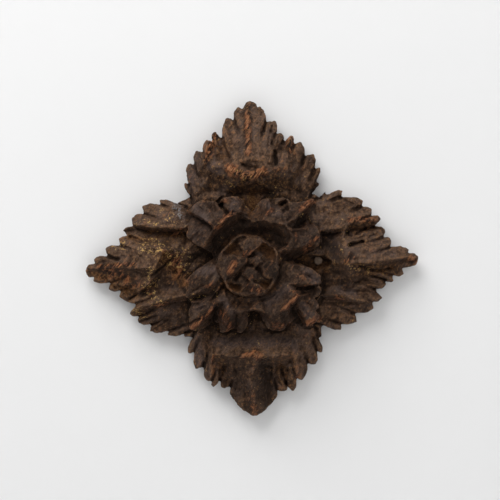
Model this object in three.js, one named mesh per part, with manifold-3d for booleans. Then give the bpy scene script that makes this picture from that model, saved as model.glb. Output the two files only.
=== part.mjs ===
// A roof boss carved of one block of timber, with the nail that was driven through its face.
//
// Millimetres. The boss is seen from -Y, +X is to the right and +Z is up, as it hangs. Its sawn back lies
// in the plane y = 0, and every height below is measured forward from that back: a height h is at y = -h.
//
// The carving has three tiers: four toothed leaves that run out to the corners of the block, a ruffled
// square flower that rises over their feet, and a bud of folded petals in a thin round cup.

import * as THREE from 'three';
import { mergeVertices } from 'three/addons/utils/BufferGeometryUtils.js';
import Module from 'manifold-3d';

// Driving dimensions of the block

const heart = { x: -3, z: -6 };        // middle of the flower, from which the leaves run out
const edgeHeight = 24;                 // thickness of the leaves at their toothed edges
const undercutHeight = 15;             // below this height the edges draw in towards the back
const backScale = 0.955;               // size of the outline at the back, against its full size
const clearOfRelief = 90;              // a height well above the leaves' relief

// Driving dimensions of the leaves
//
// A place on a leaf is [out, side]: out from the heart along the leaf, and to the side of a line through
// the heart. Each half lists the tips of its teeth from the foot of the leaf outwards: the side lobe's
// teeth, of which the last is the lobe's own tip, and then the teeth of the pointed blade. crest is where
// the hump of the leaf stands, and midrib gives how far to the right the midrib runs at the crest and at
// the tip. turn is the leaf's direction in degrees, anticlockwise from straight up, and plain is how far back
// from the tip its edge has no notches.

const leaves = [
  {
    turn: 0, reach: 238, crest: 125, midrib: [0, 1], plain: 0,
    right: {
      lobe: [[106, 90], [121, 100], [143, 102], [162, 91], [179, 73], [190, 60]],
      blade: [[193, 45], [210, 36], [231, 15]],
    },
    left: {
      lobe: [[99, 88], [120, 94], [149, 90], [167, 78], [182, 63], [194, 51]],
      blade: [[214, 34], [230, 18]],
    },
  },
  {
    turn: 90, reach: 237, crest: 122, midrib: [-3, -7], plain: 0,
    right: {
      lobe: [[103, 92], [131, 96], [156, 87], [171, 69], [184, 51]],
      blade: [[190, 40], [208, 25], [225, 10]],
    },
    left: {
      lobe: [[95, 101], [119, 100], [145, 94], [163, 81], [174, 69]],
      blade: [[189, 44], [204, 33], [227, 21]],
    },
  },
  {
    turn: 180, reach: 217, crest: 130, midrib: [-11, -6], plain: 26,
    right: {
      lobe: [[102, 85], [126, 89], [149, 78], [167, 62], [175, 53]],
      blade: [[177, 38], [192, 25], [209, 10]],
    },
    left: {
      lobe: [[102, 104], [125, 104], [143, 95], [164, 77], [181, 62]],
      blade: [[181, 50], [196, 34], [212, 17]],
    },
  },
  {
    turn: 270, reach: 243, crest: 138, midrib: [-6, -10], plain: 0,
    right: {
      lobe: [[103, 88], [133, 92], [155, 80], [179, 62], [191, 45]],
      blade: [[197, 26], [208, 22], [222, 11]],
    },
    left: {
      lobe: [[101, 99], [109, 107], [135, 110], [164, 95], [177, 82], [189, 68]],
      blade: [[195, 52], [204, 36], [230, 24]],
    },
  },
];

// A notch lies just past the lower of its two teeth where the leaf widens, and set back behind that tooth
// where the leaf narrows, so that the teeth point along the leaf. It is pulled in towards the midrib, and
// deeper between the side lobe and the blade. swell is how far a tooth's outer side bulges, at the share
// swellAt of its length.

const notch = { rise: 1, setBack: 3, share: 0.4, pull: 4.5, lobeGap: 8, swellAt: 0.6, swell: 3 };

// The blunt end of each leaf: places as [back from its reach, to the side of its midrib].

const bluntTip = [[5, 9], [1, 4.5], [0, 0], [1, -4.5], [5, -9]];

// Where the leaves' faces are worked out: steps out from the crest, and steps from the midrib to both
// sides.

const leafGrid = {
  outSteps: [-124, -60, -29, -20, -12, -5, 0, 5, 11, 19, 29, 40, 50, 60, 70, 82, 95, 110, 124],
  sideSteps: [8, 19, 32, 42, 48, 53, 59, 68, 80, 95, 112],
  soleHeight: -5,
};

const relief = {
  valleyOut: 96, valleyHeight: 35,     // the hollow between the flower and the hump
  crestHeight: 64, tipHeight: 27,      // the midrib's height on the hump and at the leaf's tip
  bladeWide: 56, bladeNarrow: 10,      // half width of the blade's slopes at the hump and at the tip
  bladeTaper: 1.6, pastBlade: 2,       // how late the blade narrows, and how steep it ends in the grooves
  lowest: 22,                          // the face never lies below this height
  shoulder: 0.2, hollowRun: 16,        // how flat the hump is across, and how fast the grooves open beyond it
  ribSide: 59, ribHeights: [52, 48, 30], ribOuts: [100, 150, 192],     // the side lobe's ridge
  ribSlope: 1.5, lobeSlope: 0.55,      // its steep inner flank, and its gentle outer side
};

// Driving dimensions of the flower
//
// Its edge is a ring of lobes, given anticlockwise from the right: the angle and reach of each lobe's
// ridge, then the angle and reach of the groove that parts it from the next, and how deep that groove is,
// from 0 to 1.

const lobes = [
  [27, 111, 38, 100, 0.9], [48, 130, 63, 109, 0.6], [76, 105, 88, 75, 1], [105, 103, 119, 104, 0.6],
  [136, 128, 143, 116, 0.5], [152, 107, 167, 81, 1], [194, 100, 211, 96, 0.8], [224, 129, 232, 106, 0.8],
  [244, 105, 251, 97, 0.4], [260, 90, 274, 66, 1], [282, 94, 290, 91, 0.3], [298, 101, 308, 101, 0.9],
  [316, 124, 332, 105, 0.6], [341, 108, 346, 99, 0.3], [351, 105, 365, 72, 1],
];

const flower = {
  steps: 3, roundness: 1.6,            // facets between a ridge and the next groove, and how round a lobe is
  foot: { share: 0.7, height: 20 },    // where the underside meets the leaves, as a share of the reach
  root: { share: 0.78, height: 40 },
  waistShare: 0.9, edgeWorn: 1,        // the underside below the edge, and how far the edge is worn in
  tipHeights: [58, 82], rimHeights: [93, 103],     // in the grooves, and on the ridges
  rimBase: 48, rimShare: 0.27, rimInset: 4,     // the rim's radius follows the edge's reach, inside it
  plateSteps: [[0.66, 0.55], [0.33, 0.22]],     // between rim and edge: share out, share of the fall
  lipThickness: 11, rimWidth: 6, rimFall: 4,
  wallShare: 0.6, floorRadius: 46, floorHeight: 72,
};

// Driving dimensions of the bud and the nail

const bud = {
  x: -5, z: -4, sides: 24,
  radius: 45, wall: 5,                 // the cup's outer radius and the thickness of its lip
  footInset: 3, lipInset: 1, bedInset: 5,     // how far the foot, the lip and the bed's edge are drawn in
  footHeight: 60, lipHeight: 108, bedHeight: 95,
};

// Each folded petal runs from its root to its tip, both [x, z, height], with its half width at three
// places.

const petals = [
  { from: [-3, 29, 101], to: [-11, 8, 110], half: [19, 14, 4], thick: 10 },
  { from: [-42, 6, 99], to: [-17, -15, 106], half: [16, 17, 10], thick: 10 },
  { from: [24, 4, 98], to: [23, -24, 104], half: [10, 17, 11], thick: 14 },
  { from: [0, -42, 101], to: [0, -26, 107], half: [22, 14, 6], thick: 9 },
  { from: [-7, 4, 101], to: [13, 2, 105], half: [8, 10, 6], thick: 11 },
  { from: [-14, -15, 101], to: [5, -17, 105], half: [8, 12, 8], thick: 12 },
];

// A petal is a flattened tongue. Its stations are [share of its length, share of its thickness], and its
// edges are fuller than its thickness by the share given.

const tongue = { sides: 8, fuller: 0.3, stations: [[0, 0.35], [0.12, 0.8], [0.5, 1], [0.85, 0.8], [1, 0.3]] };

const nail = {
  x: 95, z: 2, sides: 20,
  seat: 34, gap: 0.3,                  // the height of the timber under the head, and the head's gap above it
  headRadius: 6.1, headHeight: 3, bevel: 1,
  shankRadius: 2.5, depth: 26, point: 3, clearance: 0.3,
};
const bore = { sides: 16, past: 4, above: 1 };     // it runs past the shank's end and opens above the seat
const seatFlat = { margin: 1.5, flare: 4 };        // the flat round the head, and how far its wall leans out

// The hollow that the head stands in: its middle, and its size as [share of its width, height].

const scoop = {
  x: 90, z: -1, halfWide: 21, halfTall: 11, clearHeight: 52,
  levels: [[0.55, 32], [0.85, 34], [1, 52]],
};

// Shaping helpers

const radians = THREE.MathUtils.degToRad;
const { lerp, smoothstep, clamp } = THREE.MathUtils;

// The value at one place along a few steps, with straight runs between them.
function along(places, values, at) {
  const next = places.findIndex((place) => place >= at);
  if (next === 0) return values[0];
  if (next < 0) return values.at(-1);
  const share = (at - places[next - 1]) / (places[next] - places[next - 1]);
  return lerp(values[next - 1], values[next], share);
}

function geometryFrom(points, index) {
  const geometry = new THREE.BufferGeometry();
  geometry.setAttribute('position', new THREE.Float32BufferAttribute(points.flatMap((p) => p.toArray()), 3));
  geometry.setIndex(index);
  return geometry;
}

// A closed skin over rings of equal length. Each ring runs anticlockwise seen from the front, and the rings
// run from the back to the front. The end rings are closed by a fan, or by the faces given.
function loft(rings, endFaces) {
  const count = rings[0].length;
  const points = rings.flat();
  const index = [];
  for (let ring = 0; ring < rings.length - 1; ring += 1) {
    for (let i = 0; i < count; i += 1) {
      const here = ring * count + i;
      const beside = ring * count + (i + 1) % count;
      index.push(here, beside, here + count, beside, beside + count, here + count);
    }
  }
  const lastRing = (rings.length - 1) * count;
  if (endFaces) {
    for (const [a, b, c] of endFaces) {
      index.push(c, b, a, lastRing + a, lastRing + b, lastRing + c);
    }
  } else {
    const middle = (ring) => ring.reduce((sum, p) => sum.add(p), new THREE.Vector3()).divideScalar(count);
    points.push(middle(rings[0]), middle(rings.at(-1)));
    const backMiddle = points.length - 2;
    for (let i = 0; i < count; i += 1) {
      const beside = (i + 1) % count;
      index.push(backMiddle, beside, i, backMiddle + 1, lastRing + i, lastRing + beside);
    }
  }
  return geometryFrom(points, index);
}

// A closed block under a grid of surface points, down to a flat sole at the height given.
function block(grid, soleHeight) {
  const rows = grid.length;
  const columns = grid[0].length;
  const top = grid.flat();
  const points = [...top, ...top.map((p) => new THREE.Vector3(p.x, -soleHeight, p.z))];
  const at = (row, column) => row * columns + column;
  const index = [];
  const quad = (a, b, c, d) => index.push(a, b, c, a, c, d);
  for (let r = 0; r < rows - 1; r += 1) {
    for (let c = 0; c < columns - 1; c += 1) {
      const corners = [at(r, c), at(r, c + 1), at(r + 1, c + 1), at(r + 1, c)];
      quad(...corners);
      quad(...corners.reverse().map((i) => i + top.length));
    }
  }
  const wall = (from, to) => quad(from, from + top.length, to + top.length, to);
  for (let c = 0; c < columns - 1; c += 1) {
    wall(at(0, c), at(0, c + 1));
    wall(at(rows - 1, c + 1), at(rows - 1, c));
  }
  for (let r = 0; r < rows - 1; r += 1) {
    wall(at(r + 1, 0), at(r, 0));
    wall(at(r, columns - 1), at(r + 1, columns - 1));
  }
  return geometryFrom(points, index);
}

const wasm = await Module();
wasm.setup();

function solid(geometry) {
  const bare = geometry.clone();
  bare.deleteAttribute('normal');
  bare.deleteAttribute('uv');
  const merged = mergeVertices(bare, 1e-4);
  return new wasm.Manifold(new wasm.Mesh({
    numProp: 3,
    vertProperties: new Float32Array(merged.attributes.position.array),
    triVerts: new Uint32Array(merged.index.array),
  }));
}

function geometryOf(manifold) {
  const { vertProperties, triVerts, numProp } = manifold.getMesh();
  const geometry = new THREE.BufferGeometry();
  const positions = new Float32Array((vertProperties.length / numProp) * 3);
  for (let i = 0; i < positions.length / 3; i += 1) {
    positions.set(vertProperties.subarray(i * numProp, i * numProp + 3), i * 3);
  }
  geometry.setAttribute('position', new THREE.BufferAttribute(positions, 3));
  geometry.setIndex([...triVerts]);
  return geometry;
}

// Leaves

// A place on a leaf, in the boss's frame.
function placeOnLeaf(leaf, out, side, height) {
  const turn = radians(leaf.turn);
  const x = heart.x + side * Math.cos(turn) - out * Math.sin(turn);
  const z = heart.z + side * Math.sin(turn) + out * Math.cos(turn);
  return new THREE.Vector3(x, -height, z);
}

// One half of a leaf's edge, from its foot up to the last notch before the tip. The outer side of a tooth
// swells out along the leaf, and its inner side cuts back across it.
function toothedEdge(leaf, half, hand) {
  const teeth = [...half.lobe, ...half.blade];
  const edge = [teeth[0]];
  for (let i = 1; i < teeth.length; i += 1) {
    if (leaf.reach - teeth[i - 1][0] < leaf.plain) {
      edge.push(teeth[i]);
      continue;
    }
    const [lowerOut, lowerSide] = teeth[i - 1];
    const [out, side] = teeth[i];
    const gap = i === half.lobe.length ? notch.lobeGap : 0;
    const turned = side < lowerSide ? -notch.setBack : notch.rise;
    const notchOut = Math.min(lowerOut, out) + turned - gap;
    const notchSide = lerp(lowerSide, side, notch.share) - notch.pull;
    edge.push([notchOut, notchSide]);
    edge.push([lerp(notchOut, out, notch.swellAt), lerp(notchSide, side, notch.swellAt) + notch.swell]);
    edge.push([out, side]);
  }
  const [lastOut, lastSide] = teeth.at(-1);
  if (leaf.reach - lastOut >= leaf.plain) {
    edge.push([lastOut - notch.setBack, lerp(lastSide, hand * leaf.midrib[1], notch.share)]);
  }
  return edge.map(([out, side]) => [out, hand * side]);
}

function leafOutline(leaf) {
  const [, tipSide] = leaf.midrib;
  const tip = bluntTip.map(([back, beside]) => [leaf.reach - back, tipSide + beside]);
  return [...toothedEdge(leaf, leaf.right, 1), ...tip, ...toothedEdge(leaf, leaf.left, -1).reverse()];
}

// The block sawn to the outline of all four leaves, with its edges drawn in towards the back.
function sawnBlock() {
  const ring = (scale, height) => leaves.flatMap((leaf) => leafOutline(leaf)
    .map(([out, side]) => placeOnLeaf(leaf, out * scale, side * scale, height)));
  const front = ring(1, clearOfRelief);
  const faces = THREE.ShapeUtils.triangulateShape(front.map((p) => new THREE.Vector2(p.x, p.z)), []);
  return loft([ring(backScale, 0), ring(1, undercutHeight), front], faces);
}

// How far a place lies from the crest towards the tip, from 0 to 1.
const pastCrest = (leaf, out) => clamp((out - leaf.crest) / (leaf.reach - leaf.crest), 0, 1);

const midribSide = (leaf, out) => lerp(leaf.midrib[0], leaf.midrib[1], pastCrest(leaf, out));

function spineHeight(leaf, out) {
  if (out < leaf.crest) {
    return lerp(relief.valleyHeight, relief.crestHeight, smoothstep(out, relief.valleyOut, leaf.crest));
  }
  return lerp(relief.crestHeight, relief.tipHeight, pastCrest(leaf, out));
}

// The blade is a roof along the midrib, and each side lobe a ridge with a steep inner flank. Where they
// meet they leave a groove.
function leafHeight(leaf, out, side) {
  const across = Math.abs(side - midribSide(leaf, out));
  const halfWidth = lerp(relief.bladeWide, relief.bladeNarrow, pastCrest(leaf, out) ** relief.bladeTaper);
  const fall = lerp(relief.shoulder, 1, smoothstep(out, leaf.crest, leaf.crest + relief.hollowRun));
  const pastSide = Math.max(across - halfWidth, 0);
  const slope = lerp(spineHeight(leaf, out), edgeHeight, fall * Math.min(across / halfWidth, 1));
  const blade = slope - relief.pastBlade * pastSide;
  const ribHeight = along(relief.ribOuts, relief.ribHeights, out);
  const fromRib = across - relief.ribSide;
  const lobe = fromRib < 0 ? ribHeight + fromRib * relief.ribSlope : ribHeight - fromRib * relief.lobeSlope;
  return Math.max(blade, lobe, relief.lowest);
}

function leafBlock(leaf) {
  const { outSteps, sideSteps, soleHeight } = leafGrid;
  const columns = [...sideSteps.map((step) => -step).reverse(), 0, ...sideSteps];
  const grid = outSteps.map((step) => {
    const out = leaf.crest + step;
    return columns.map((column) => {
      const side = column + midribSide(leaf, out);
      return placeOnLeaf(leaf, out, side, leafHeight(leaf, out, side));
    });
  });
  return block(grid, soleHeight);
}

// Flower

// The flower's edge at a step around it: its angle, its reach, and its fold, from 0 in a groove to 1 on a
// ridge.
function flowerEdge() {
  const knots = lobes.flatMap(([ridgeAngle, ridgeReach, grooveAngle, grooveReach, depth]) => [
    { angle: ridgeAngle, reach: ridgeReach, depth: 0 },
    { angle: grooveAngle, reach: grooveReach, depth },
  ]);
  return knots.flatMap((knot, i) => {
    const next = knots[(i + 1) % knots.length];
    const [groove, ridge] = knot.depth ? [knot, next] : [next, knot];
    const sweep = (next.angle - knot.angle + 360) % 360;
    return Array.from({ length: flower.steps }, (_, step) => {
      const share = step / flower.steps;
      const rise = knot.depth ? share : 1 - share;
      const swell = 1 - (1 - rise) ** flower.roundness;
      return {
        angle: knot.angle + sweep * share,
        reach: lerp(groove.reach, ridge.reach, swell),
        fold: 1 - groove.depth * (1 - swell),
      };
    });
  });
}

function flowerShell() {
  const edge = flowerEdge();
  const ring = (profile) => edge.map(({ angle, reach, fold }) => {
    const tip = lerp(...flower.tipHeights, fold);
    const rimHeight = lerp(...flower.rimHeights, fold);
    const rim = Math.min(flower.rimBase + flower.rimShare * reach, reach - flower.rimInset);
    const [radius, height] = profile({ reach, tip, rim, rimHeight });
    const turn = radians(angle);
    return new THREE.Vector3(heart.x + radius * Math.cos(turn), -height, heart.z + radius * Math.sin(turn));
  });
  const { foot, root, lipThickness, rimWidth, rimFall, wallShare, floorRadius, floorHeight } = flower;
  return loft([
    ring(({ reach }) => [foot.share * reach, foot.height]),
    ring(({ reach }) => [root.share * reach, root.height]),
    ring(({ reach, tip }) => [flower.waistShare * reach, tip - 2 * lipThickness]),
    ring(({ reach, tip }) => [reach - flower.edgeWorn, tip - lipThickness]),
    ring(({ reach, tip }) => [reach, tip]),
    ...flower.plateSteps.map(([out, fall]) => ring(({ reach, rim, tip, rimHeight }) => [
      lerp(rim, reach, out),
      lerp(rimHeight, tip, fall),
    ])),
    ring(({ rim, rimHeight }) => [rim, rimHeight]),
    ring(({ rim, rimHeight }) => [rim - rimWidth, rimHeight - rimFall]),
    ring(({ rim, rimHeight }) => [
      lerp(rim, floorRadius, wallShare),
      lerp(rimHeight, floorHeight, wallShare),
    ]),
    ring(() => [floorRadius, floorHeight]),
  ]);
}

// Bud

function roundRing(x, z, radius, height, sides) {
  return Array.from({ length: sides }, (_, i) => {
    const turn = (2 * Math.PI * i) / sides;
    return new THREE.Vector3(x + radius * Math.cos(turn), -height, z + radius * Math.sin(turn));
  });
}

function budCup() {
  const { radius, wall, footHeight, lipHeight, bedHeight } = bud;
  const ring = (r, height) => roundRing(bud.x, bud.z, r, height, bud.sides);
  return loft([
    ring(radius - bud.footInset, footHeight),
    ring(radius, bedHeight),
    ring(radius - bud.lipInset, lipHeight),
    ring(radius - wall, lipHeight),
    ring(radius - wall - bud.bedInset, bedHeight),
  ]);
}

// A petal folded in over the bud, which swells between its root and its tip.
function foldedPetal({ from, to, half, thick }) {
  const root = new THREE.Vector3(from[0], -from[2], from[1]);
  const tip = new THREE.Vector3(to[0], -to[2], to[1]);
  const run = tip.clone().sub(root);
  const across = new THREE.Vector3(0, 1, 0).cross(run).normalize();
  const through = run.clone().cross(across).normalize();
  return loft(tongue.stations.map(([share, swell]) => {
    const middle = root.clone().addScaledVector(run, share);
    const halfWidth = along([0, 0.5, 1], half, share) * Math.min(1, swell + tongue.fuller);
    return Array.from({ length: tongue.sides }, (_, i) => {
      const turn = (2 * Math.PI * i) / tongue.sides;
      return middle.clone()
        .addScaledVector(across, halfWidth * Math.cos(turn))
        .addScaledVector(through, thick * swell * Math.sin(turn));
    });
  }));
}

// Nail, driven through the face in a scooped hollow

function nailGeometry() {
  const { headRadius, shankRadius, depth } = nail;
  const under = -(nail.seat + nail.gap);
  const top = under - nail.headHeight;
  return new THREE.LatheGeometry([
    new THREE.Vector2(0, top),
    new THREE.Vector2(headRadius - nail.bevel, top),
    new THREE.Vector2(headRadius, top + nail.bevel),
    new THREE.Vector2(headRadius, under),
    new THREE.Vector2(shankRadius, under),
    new THREE.Vector2(shankRadius, under + depth),
    new THREE.Vector2(0, under + depth + nail.point),
  ], nail.sides);
}

// A ring of the scooped hollow, which is wider than it is tall.
function scoopRing(share, height) {
  return roundRing(0, 0, share, height, nail.sides)
    .map((p) => new THREE.Vector3(scoop.x + p.x * scoop.halfWide, p.y, scoop.z + p.z * scoop.halfTall));
}

// The bore round the shank, the flat under the head, and the shallow hollow that the head stands in.
function nailPocket() {
  const { x, z, seat, headRadius } = nail;
  const boreRadius = nail.shankRadius + nail.clearance;
  const shaft = loft([
    roundRing(x, z, boreRadius, seat - nail.depth - bore.past, bore.sides),
    roundRing(x, z, boreRadius, seat + bore.above, bore.sides),
  ]);
  const flat = loft([
    roundRing(x, z, headRadius + seatFlat.margin, seat, nail.sides),
    roundRing(x, z, headRadius + seatFlat.flare, scoop.clearHeight, nail.sides),
  ]);
  const hollow = loft(scoop.levels.map(([share, height]) => scoopRing(share, height)));
  return solid(shaft).add(solid(flat)).add(solid(hollow));
}

function boss() {
  const relievedLeaves = leaves.map((leaf) => solid(leafBlock(leaf))).reduce((all, leaf) => all.add(leaf));
  const carved = relievedLeaves.intersect(solid(sawnBlock()));
  return [flowerShell(), budCup(), ...petals.map(foldedPetal)]
    .reduce((all, shell) => all.add(solid(shell)), carved)
    .subtract(nailPocket());
}

const group = new THREE.Group();

const carvedTimber = new THREE.MeshStandardMaterial({ color: '#54413a', roughness: 0.7, metalness: 0 });
const bossMesh = new THREE.Mesh(geometryOf(boss()), carvedTimber);
bossMesh.name = 'boss';
group.add(bossMesh);

const darkIron = new THREE.MeshStandardMaterial({ color: '#4c4139', roughness: 0.55, metalness: 0.7 });
const nailMesh = new THREE.Mesh(nailGeometry(), darkIron);
nailMesh.name = 'nail';
nailMesh.position.set(nail.x, 0, nail.z);
group.add(nailMesh);

export default group;
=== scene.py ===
# The looks of a roof boss: one block of oak, carved with four toothed leaves, a ruffled flower over their
# feet and a folded bud, stained and rubbed with age, with the head of the nail driven through its face.

import math

import bpy
import numpy as np
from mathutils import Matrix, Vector
from mathutils.geometry import delaunay_2d_cdt


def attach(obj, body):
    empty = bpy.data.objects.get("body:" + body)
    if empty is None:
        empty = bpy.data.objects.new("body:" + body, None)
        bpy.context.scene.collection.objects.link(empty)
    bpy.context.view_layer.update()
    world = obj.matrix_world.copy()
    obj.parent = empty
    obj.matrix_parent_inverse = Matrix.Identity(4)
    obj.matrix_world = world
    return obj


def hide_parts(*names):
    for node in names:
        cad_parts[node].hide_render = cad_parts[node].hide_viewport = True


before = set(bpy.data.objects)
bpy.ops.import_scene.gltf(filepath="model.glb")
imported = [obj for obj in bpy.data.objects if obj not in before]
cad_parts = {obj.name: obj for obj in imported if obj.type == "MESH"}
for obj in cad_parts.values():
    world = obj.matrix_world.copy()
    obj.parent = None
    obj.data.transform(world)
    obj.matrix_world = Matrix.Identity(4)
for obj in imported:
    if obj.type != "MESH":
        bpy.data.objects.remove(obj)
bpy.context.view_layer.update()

# The leaves
#
# The four leaves are the lowest tier of the block. Their outline was sawn with teeth, and their faces were
# carved to a sharp midrib, two ridged side lobes and a hump near the flower. Lengths are in millimetres.

MM = 0.001
HEART = np.array([-3.0, -6.0])       # the middle of the flower, from which the leaves run out
EDGE_HEIGHT = 24
UNDERCUT_HEIGHT = 15
CLEAR_OF_RELIEF = 90
BACK_SCALE = 0.955                   # the outline at the back, as a share of the full one
SAWING_WASTE = 8                     # timber left behind the back plane until the back is sawn
LEAF_SOLE = -SAWING_WASTE - 2
LEAF_SIDE = [(BACK_SCALE - 0.02, -SAWING_WASTE), (BACK_SCALE, 0), (1, UNDERCUT_HEIGHT), (1, CLEAR_OF_RELIEF)]

# Teeth are [out, side] from the heart along the leaf: the side lobe's, from the foot to its tip, then the
# blade's. There are no notches nearer to the leaf's tip than plain.

LEAVES = [
    dict(turn=0, reach=238, midrib=(0, 1), plain=0,
         right=([[106, 90], [121, 100], [143, 102], [162, 91], [179, 73], [190, 60]],
                [[193, 45], [210, 36], [231, 15]]),
         left=([[99, 88], [120, 94], [149, 90], [167, 78], [182, 63], [194, 51]],
               [[214, 34], [230, 18]])),
    dict(turn=90, reach=237, midrib=(-3, -7), plain=0,
         right=([[103, 92], [131, 96], [156, 87], [171, 69], [184, 51]],
                [[190, 40], [208, 25], [225, 10]]),
         left=([[95, 101], [119, 100], [145, 94], [163, 81], [174, 69]],
               [[189, 44], [204, 33], [227, 21]])),
    dict(turn=180, reach=217, midrib=(-11, -6), plain=26,
         right=([[102, 85], [126, 89], [149, 78], [167, 62], [175, 53]],
                [[177, 38], [192, 25], [209, 10]]),
         left=([[102, 104], [125, 104], [143, 95], [164, 77], [181, 62]],
               [[181, 50], [196, 34], [212, 17]])),
    dict(turn=270, reach=243, midrib=(-6, -10), plain=0,
         right=([[103, 88], [133, 92], [155, 80], [179, 62], [191, 45]],
                [[197, 26], [208, 22], [222, 11]]),
         left=([[101, 99], [109, 107], [135, 110], [164, 95], [177, 82], [189, 68]],
               [[195, 52], [204, 36], [230, 24]])),
]
NOTCH = dict(rise=1, set_back=3, share=0.4, pull=4.5, lobe_gap=8, swell_at=0.6, swell=3)
BLUNT_TIP = [(5, 9), (1, 4.5), (0, 0), (1, -4.5), (5, -9)]     # back from the reach, to the side
CORNER_WEAR = 0.12                   # the share of a side that is worn off at each of its ends
LATTICE = 64                         # random numbers along each side of the noise before it repeats


def mix(a, b, share):
    return a + (b - a) * share


def ease(low, high, value):
    """0 below low and 1 above high, with an S-shaped step between them."""
    share = np.clip((value - low) / (high - low), 0, 1)
    return share * share * (3 - 2 * share)


def on_boss(leaf, out, side):
    """A place on a leaf as x and z on the boss: the leaf's two directions turned about the heart."""
    turn = math.radians(leaf["turn"])
    x = HEART[0] + side * math.cos(turn) - out * math.sin(turn)
    z = HEART[1] + side * math.sin(turn) + out * math.cos(turn)
    return x, z


def on_leaf(leaf, x, z):
    """The same turned back: how far out along the leaf a place is, and how far to its side."""
    turn = math.radians(leaf["turn"])
    x, z = x - HEART[0], z - HEART[1]
    return z * math.cos(turn) - x * math.sin(turn), x * math.cos(turn) + z * math.sin(turn)


def toothed_edge(leaf, half, hand):
    """One half of a leaf's edge, and its notches. Each tooth swells out along the leaf and cuts back across
    it. Where the leaf narrows, the notch is set back behind the tooth, so the tooth points along the leaf."""
    lobe, blade = half
    teeth = lobe + blade
    edge, notches = [teeth[0]], []
    for i in range(1, len(teeth)):
        (low_out, low_side), (out, side) = teeth[i - 1], teeth[i]
        if leaf["reach"] - low_out < leaf["plain"]:
            edge.append([out, side])
            continue
        gap = NOTCH["lobe_gap"] if i == len(lobe) else 0
        turned = -NOTCH["set_back"] if side < low_side else NOTCH["rise"]
        notch_out = min(low_out, out) + turned - gap
        notch_side = mix(low_side, side, NOTCH["share"]) - NOTCH["pull"]
        swell_out = mix(notch_out, out, NOTCH["swell_at"])
        swell_side = mix(notch_side, side, NOTCH["swell_at"]) + NOTCH["swell"]
        edge += [[notch_out, notch_side], [swell_out, swell_side], [out, side]]
        notches.append([notch_out, notch_side])
    last_out, last_side = teeth[-1]
    if leaf["reach"] - last_out >= leaf["plain"]:
        edge.append([last_out - NOTCH["set_back"], mix(last_side, hand * leaf["midrib"][1], NOTCH["share"])])
    return np.array(edge) * [1, hand], np.array(notches) * [1, hand]


def leaf_edge(leaf):
    right, _ = toothed_edge(leaf, leaf["right"], 1)
    left, _ = toothed_edge(leaf, leaf["left"], -1)
    tip = [[leaf["reach"] - back, leaf["midrib"][1] + beside] for back, beside in BLUNT_TIP]
    edge = np.vstack([right, tip, left[::-1]])
    return np.column_stack(on_boss(leaf, edge[:, 0], edge[:, 1]))


def corners_worn(loop):
    """A closed outline with its corners worn off: each side keeps all but its two ends."""
    ahead = np.roll(loop, -1, axis=0)
    sides = [mix(loop, ahead, CORNER_WEAR), mix(loop, ahead, 1 - CORNER_WEAR)]
    return np.stack(sides, axis=1).reshape(-1, loop.shape[1])


def noise(places, size, seed):
    """Smooth noise from 0 to 1: random numbers on a lattice, blended with eased weights. The size is that of
    the lattice's cells, one for all directions or one for each."""
    lattice = np.random.default_rng(seed).random((LATTICE, LATTICE, LATTICE))
    steps = np.asarray(places) / size
    low = np.floor(steps).astype(int)
    share = steps - low
    share = share * share * (3 - 2 * share)
    total = 0
    for corner in np.ndindex(2, 2, 2):
        weight = np.prod(np.where(np.array(corner) == 1, share, 1 - share), axis=-1)
        i, j, k = np.moveaxis((low + corner) % LATTICE, -1, 0)
        total = total + weight * lattice[i, j, k]
    return total


def from_line(x, z, start, end):
    """How far each place is from the straight line between two places on the boss."""
    run = end - start
    share = np.clip(((x - start[0]) * run[0] + (z - start[1]) * run[1]) / max(run @ run, 1e-9), 0, 1)
    return np.hypot(x - start[0] - share * run[0], z - start[1] - share * run[1])


def stroke(x, z, start, end, width):
    """1 along a straight line between two places on the boss, easing to 0 at the given width from it."""
    return 1 - ease(0, 1, from_line(x, z, start, end) / width)


def edge_distance(x, z, loop):
    """The distance from each place to the nearest side of a closed outline."""
    nearest = np.full(x.shape, np.inf)
    for start, end in zip(loop, np.roll(loop, -1, axis=0)):
        nearest = np.minimum(nearest, from_line(x, z, start, end))
    return nearest


# The relief of the face is laid out by its creases: lines of places with the height of the face at each. A
# place is given in pixels of the picture that shows the boss from the front, counted from the picture's left
# and top. Between the creases the face runs straight from one to the next.

PIXEL = 1.44                         # what a pixel covers on the boss
PICTURE_MIDDLE = (252, 262)          # the pixel over the origin of the boss
GRID_STEP = 1.4
HALF_SPAN = 252
TOOTH_VEIN = dict(length=30, inward=0.35, width=4.2, depth=7)
RELIEF_RISE = 1.2                    # how much steeper the leaves are cut than the heights of the creases
WORN_EDGE = dict(width=3.5, fall=2.5)
CRISP = dict(leaves=0.8, flower=0.6, bud=0.2, reach=9, most=3)     # how much sharper each tier is cut

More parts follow.
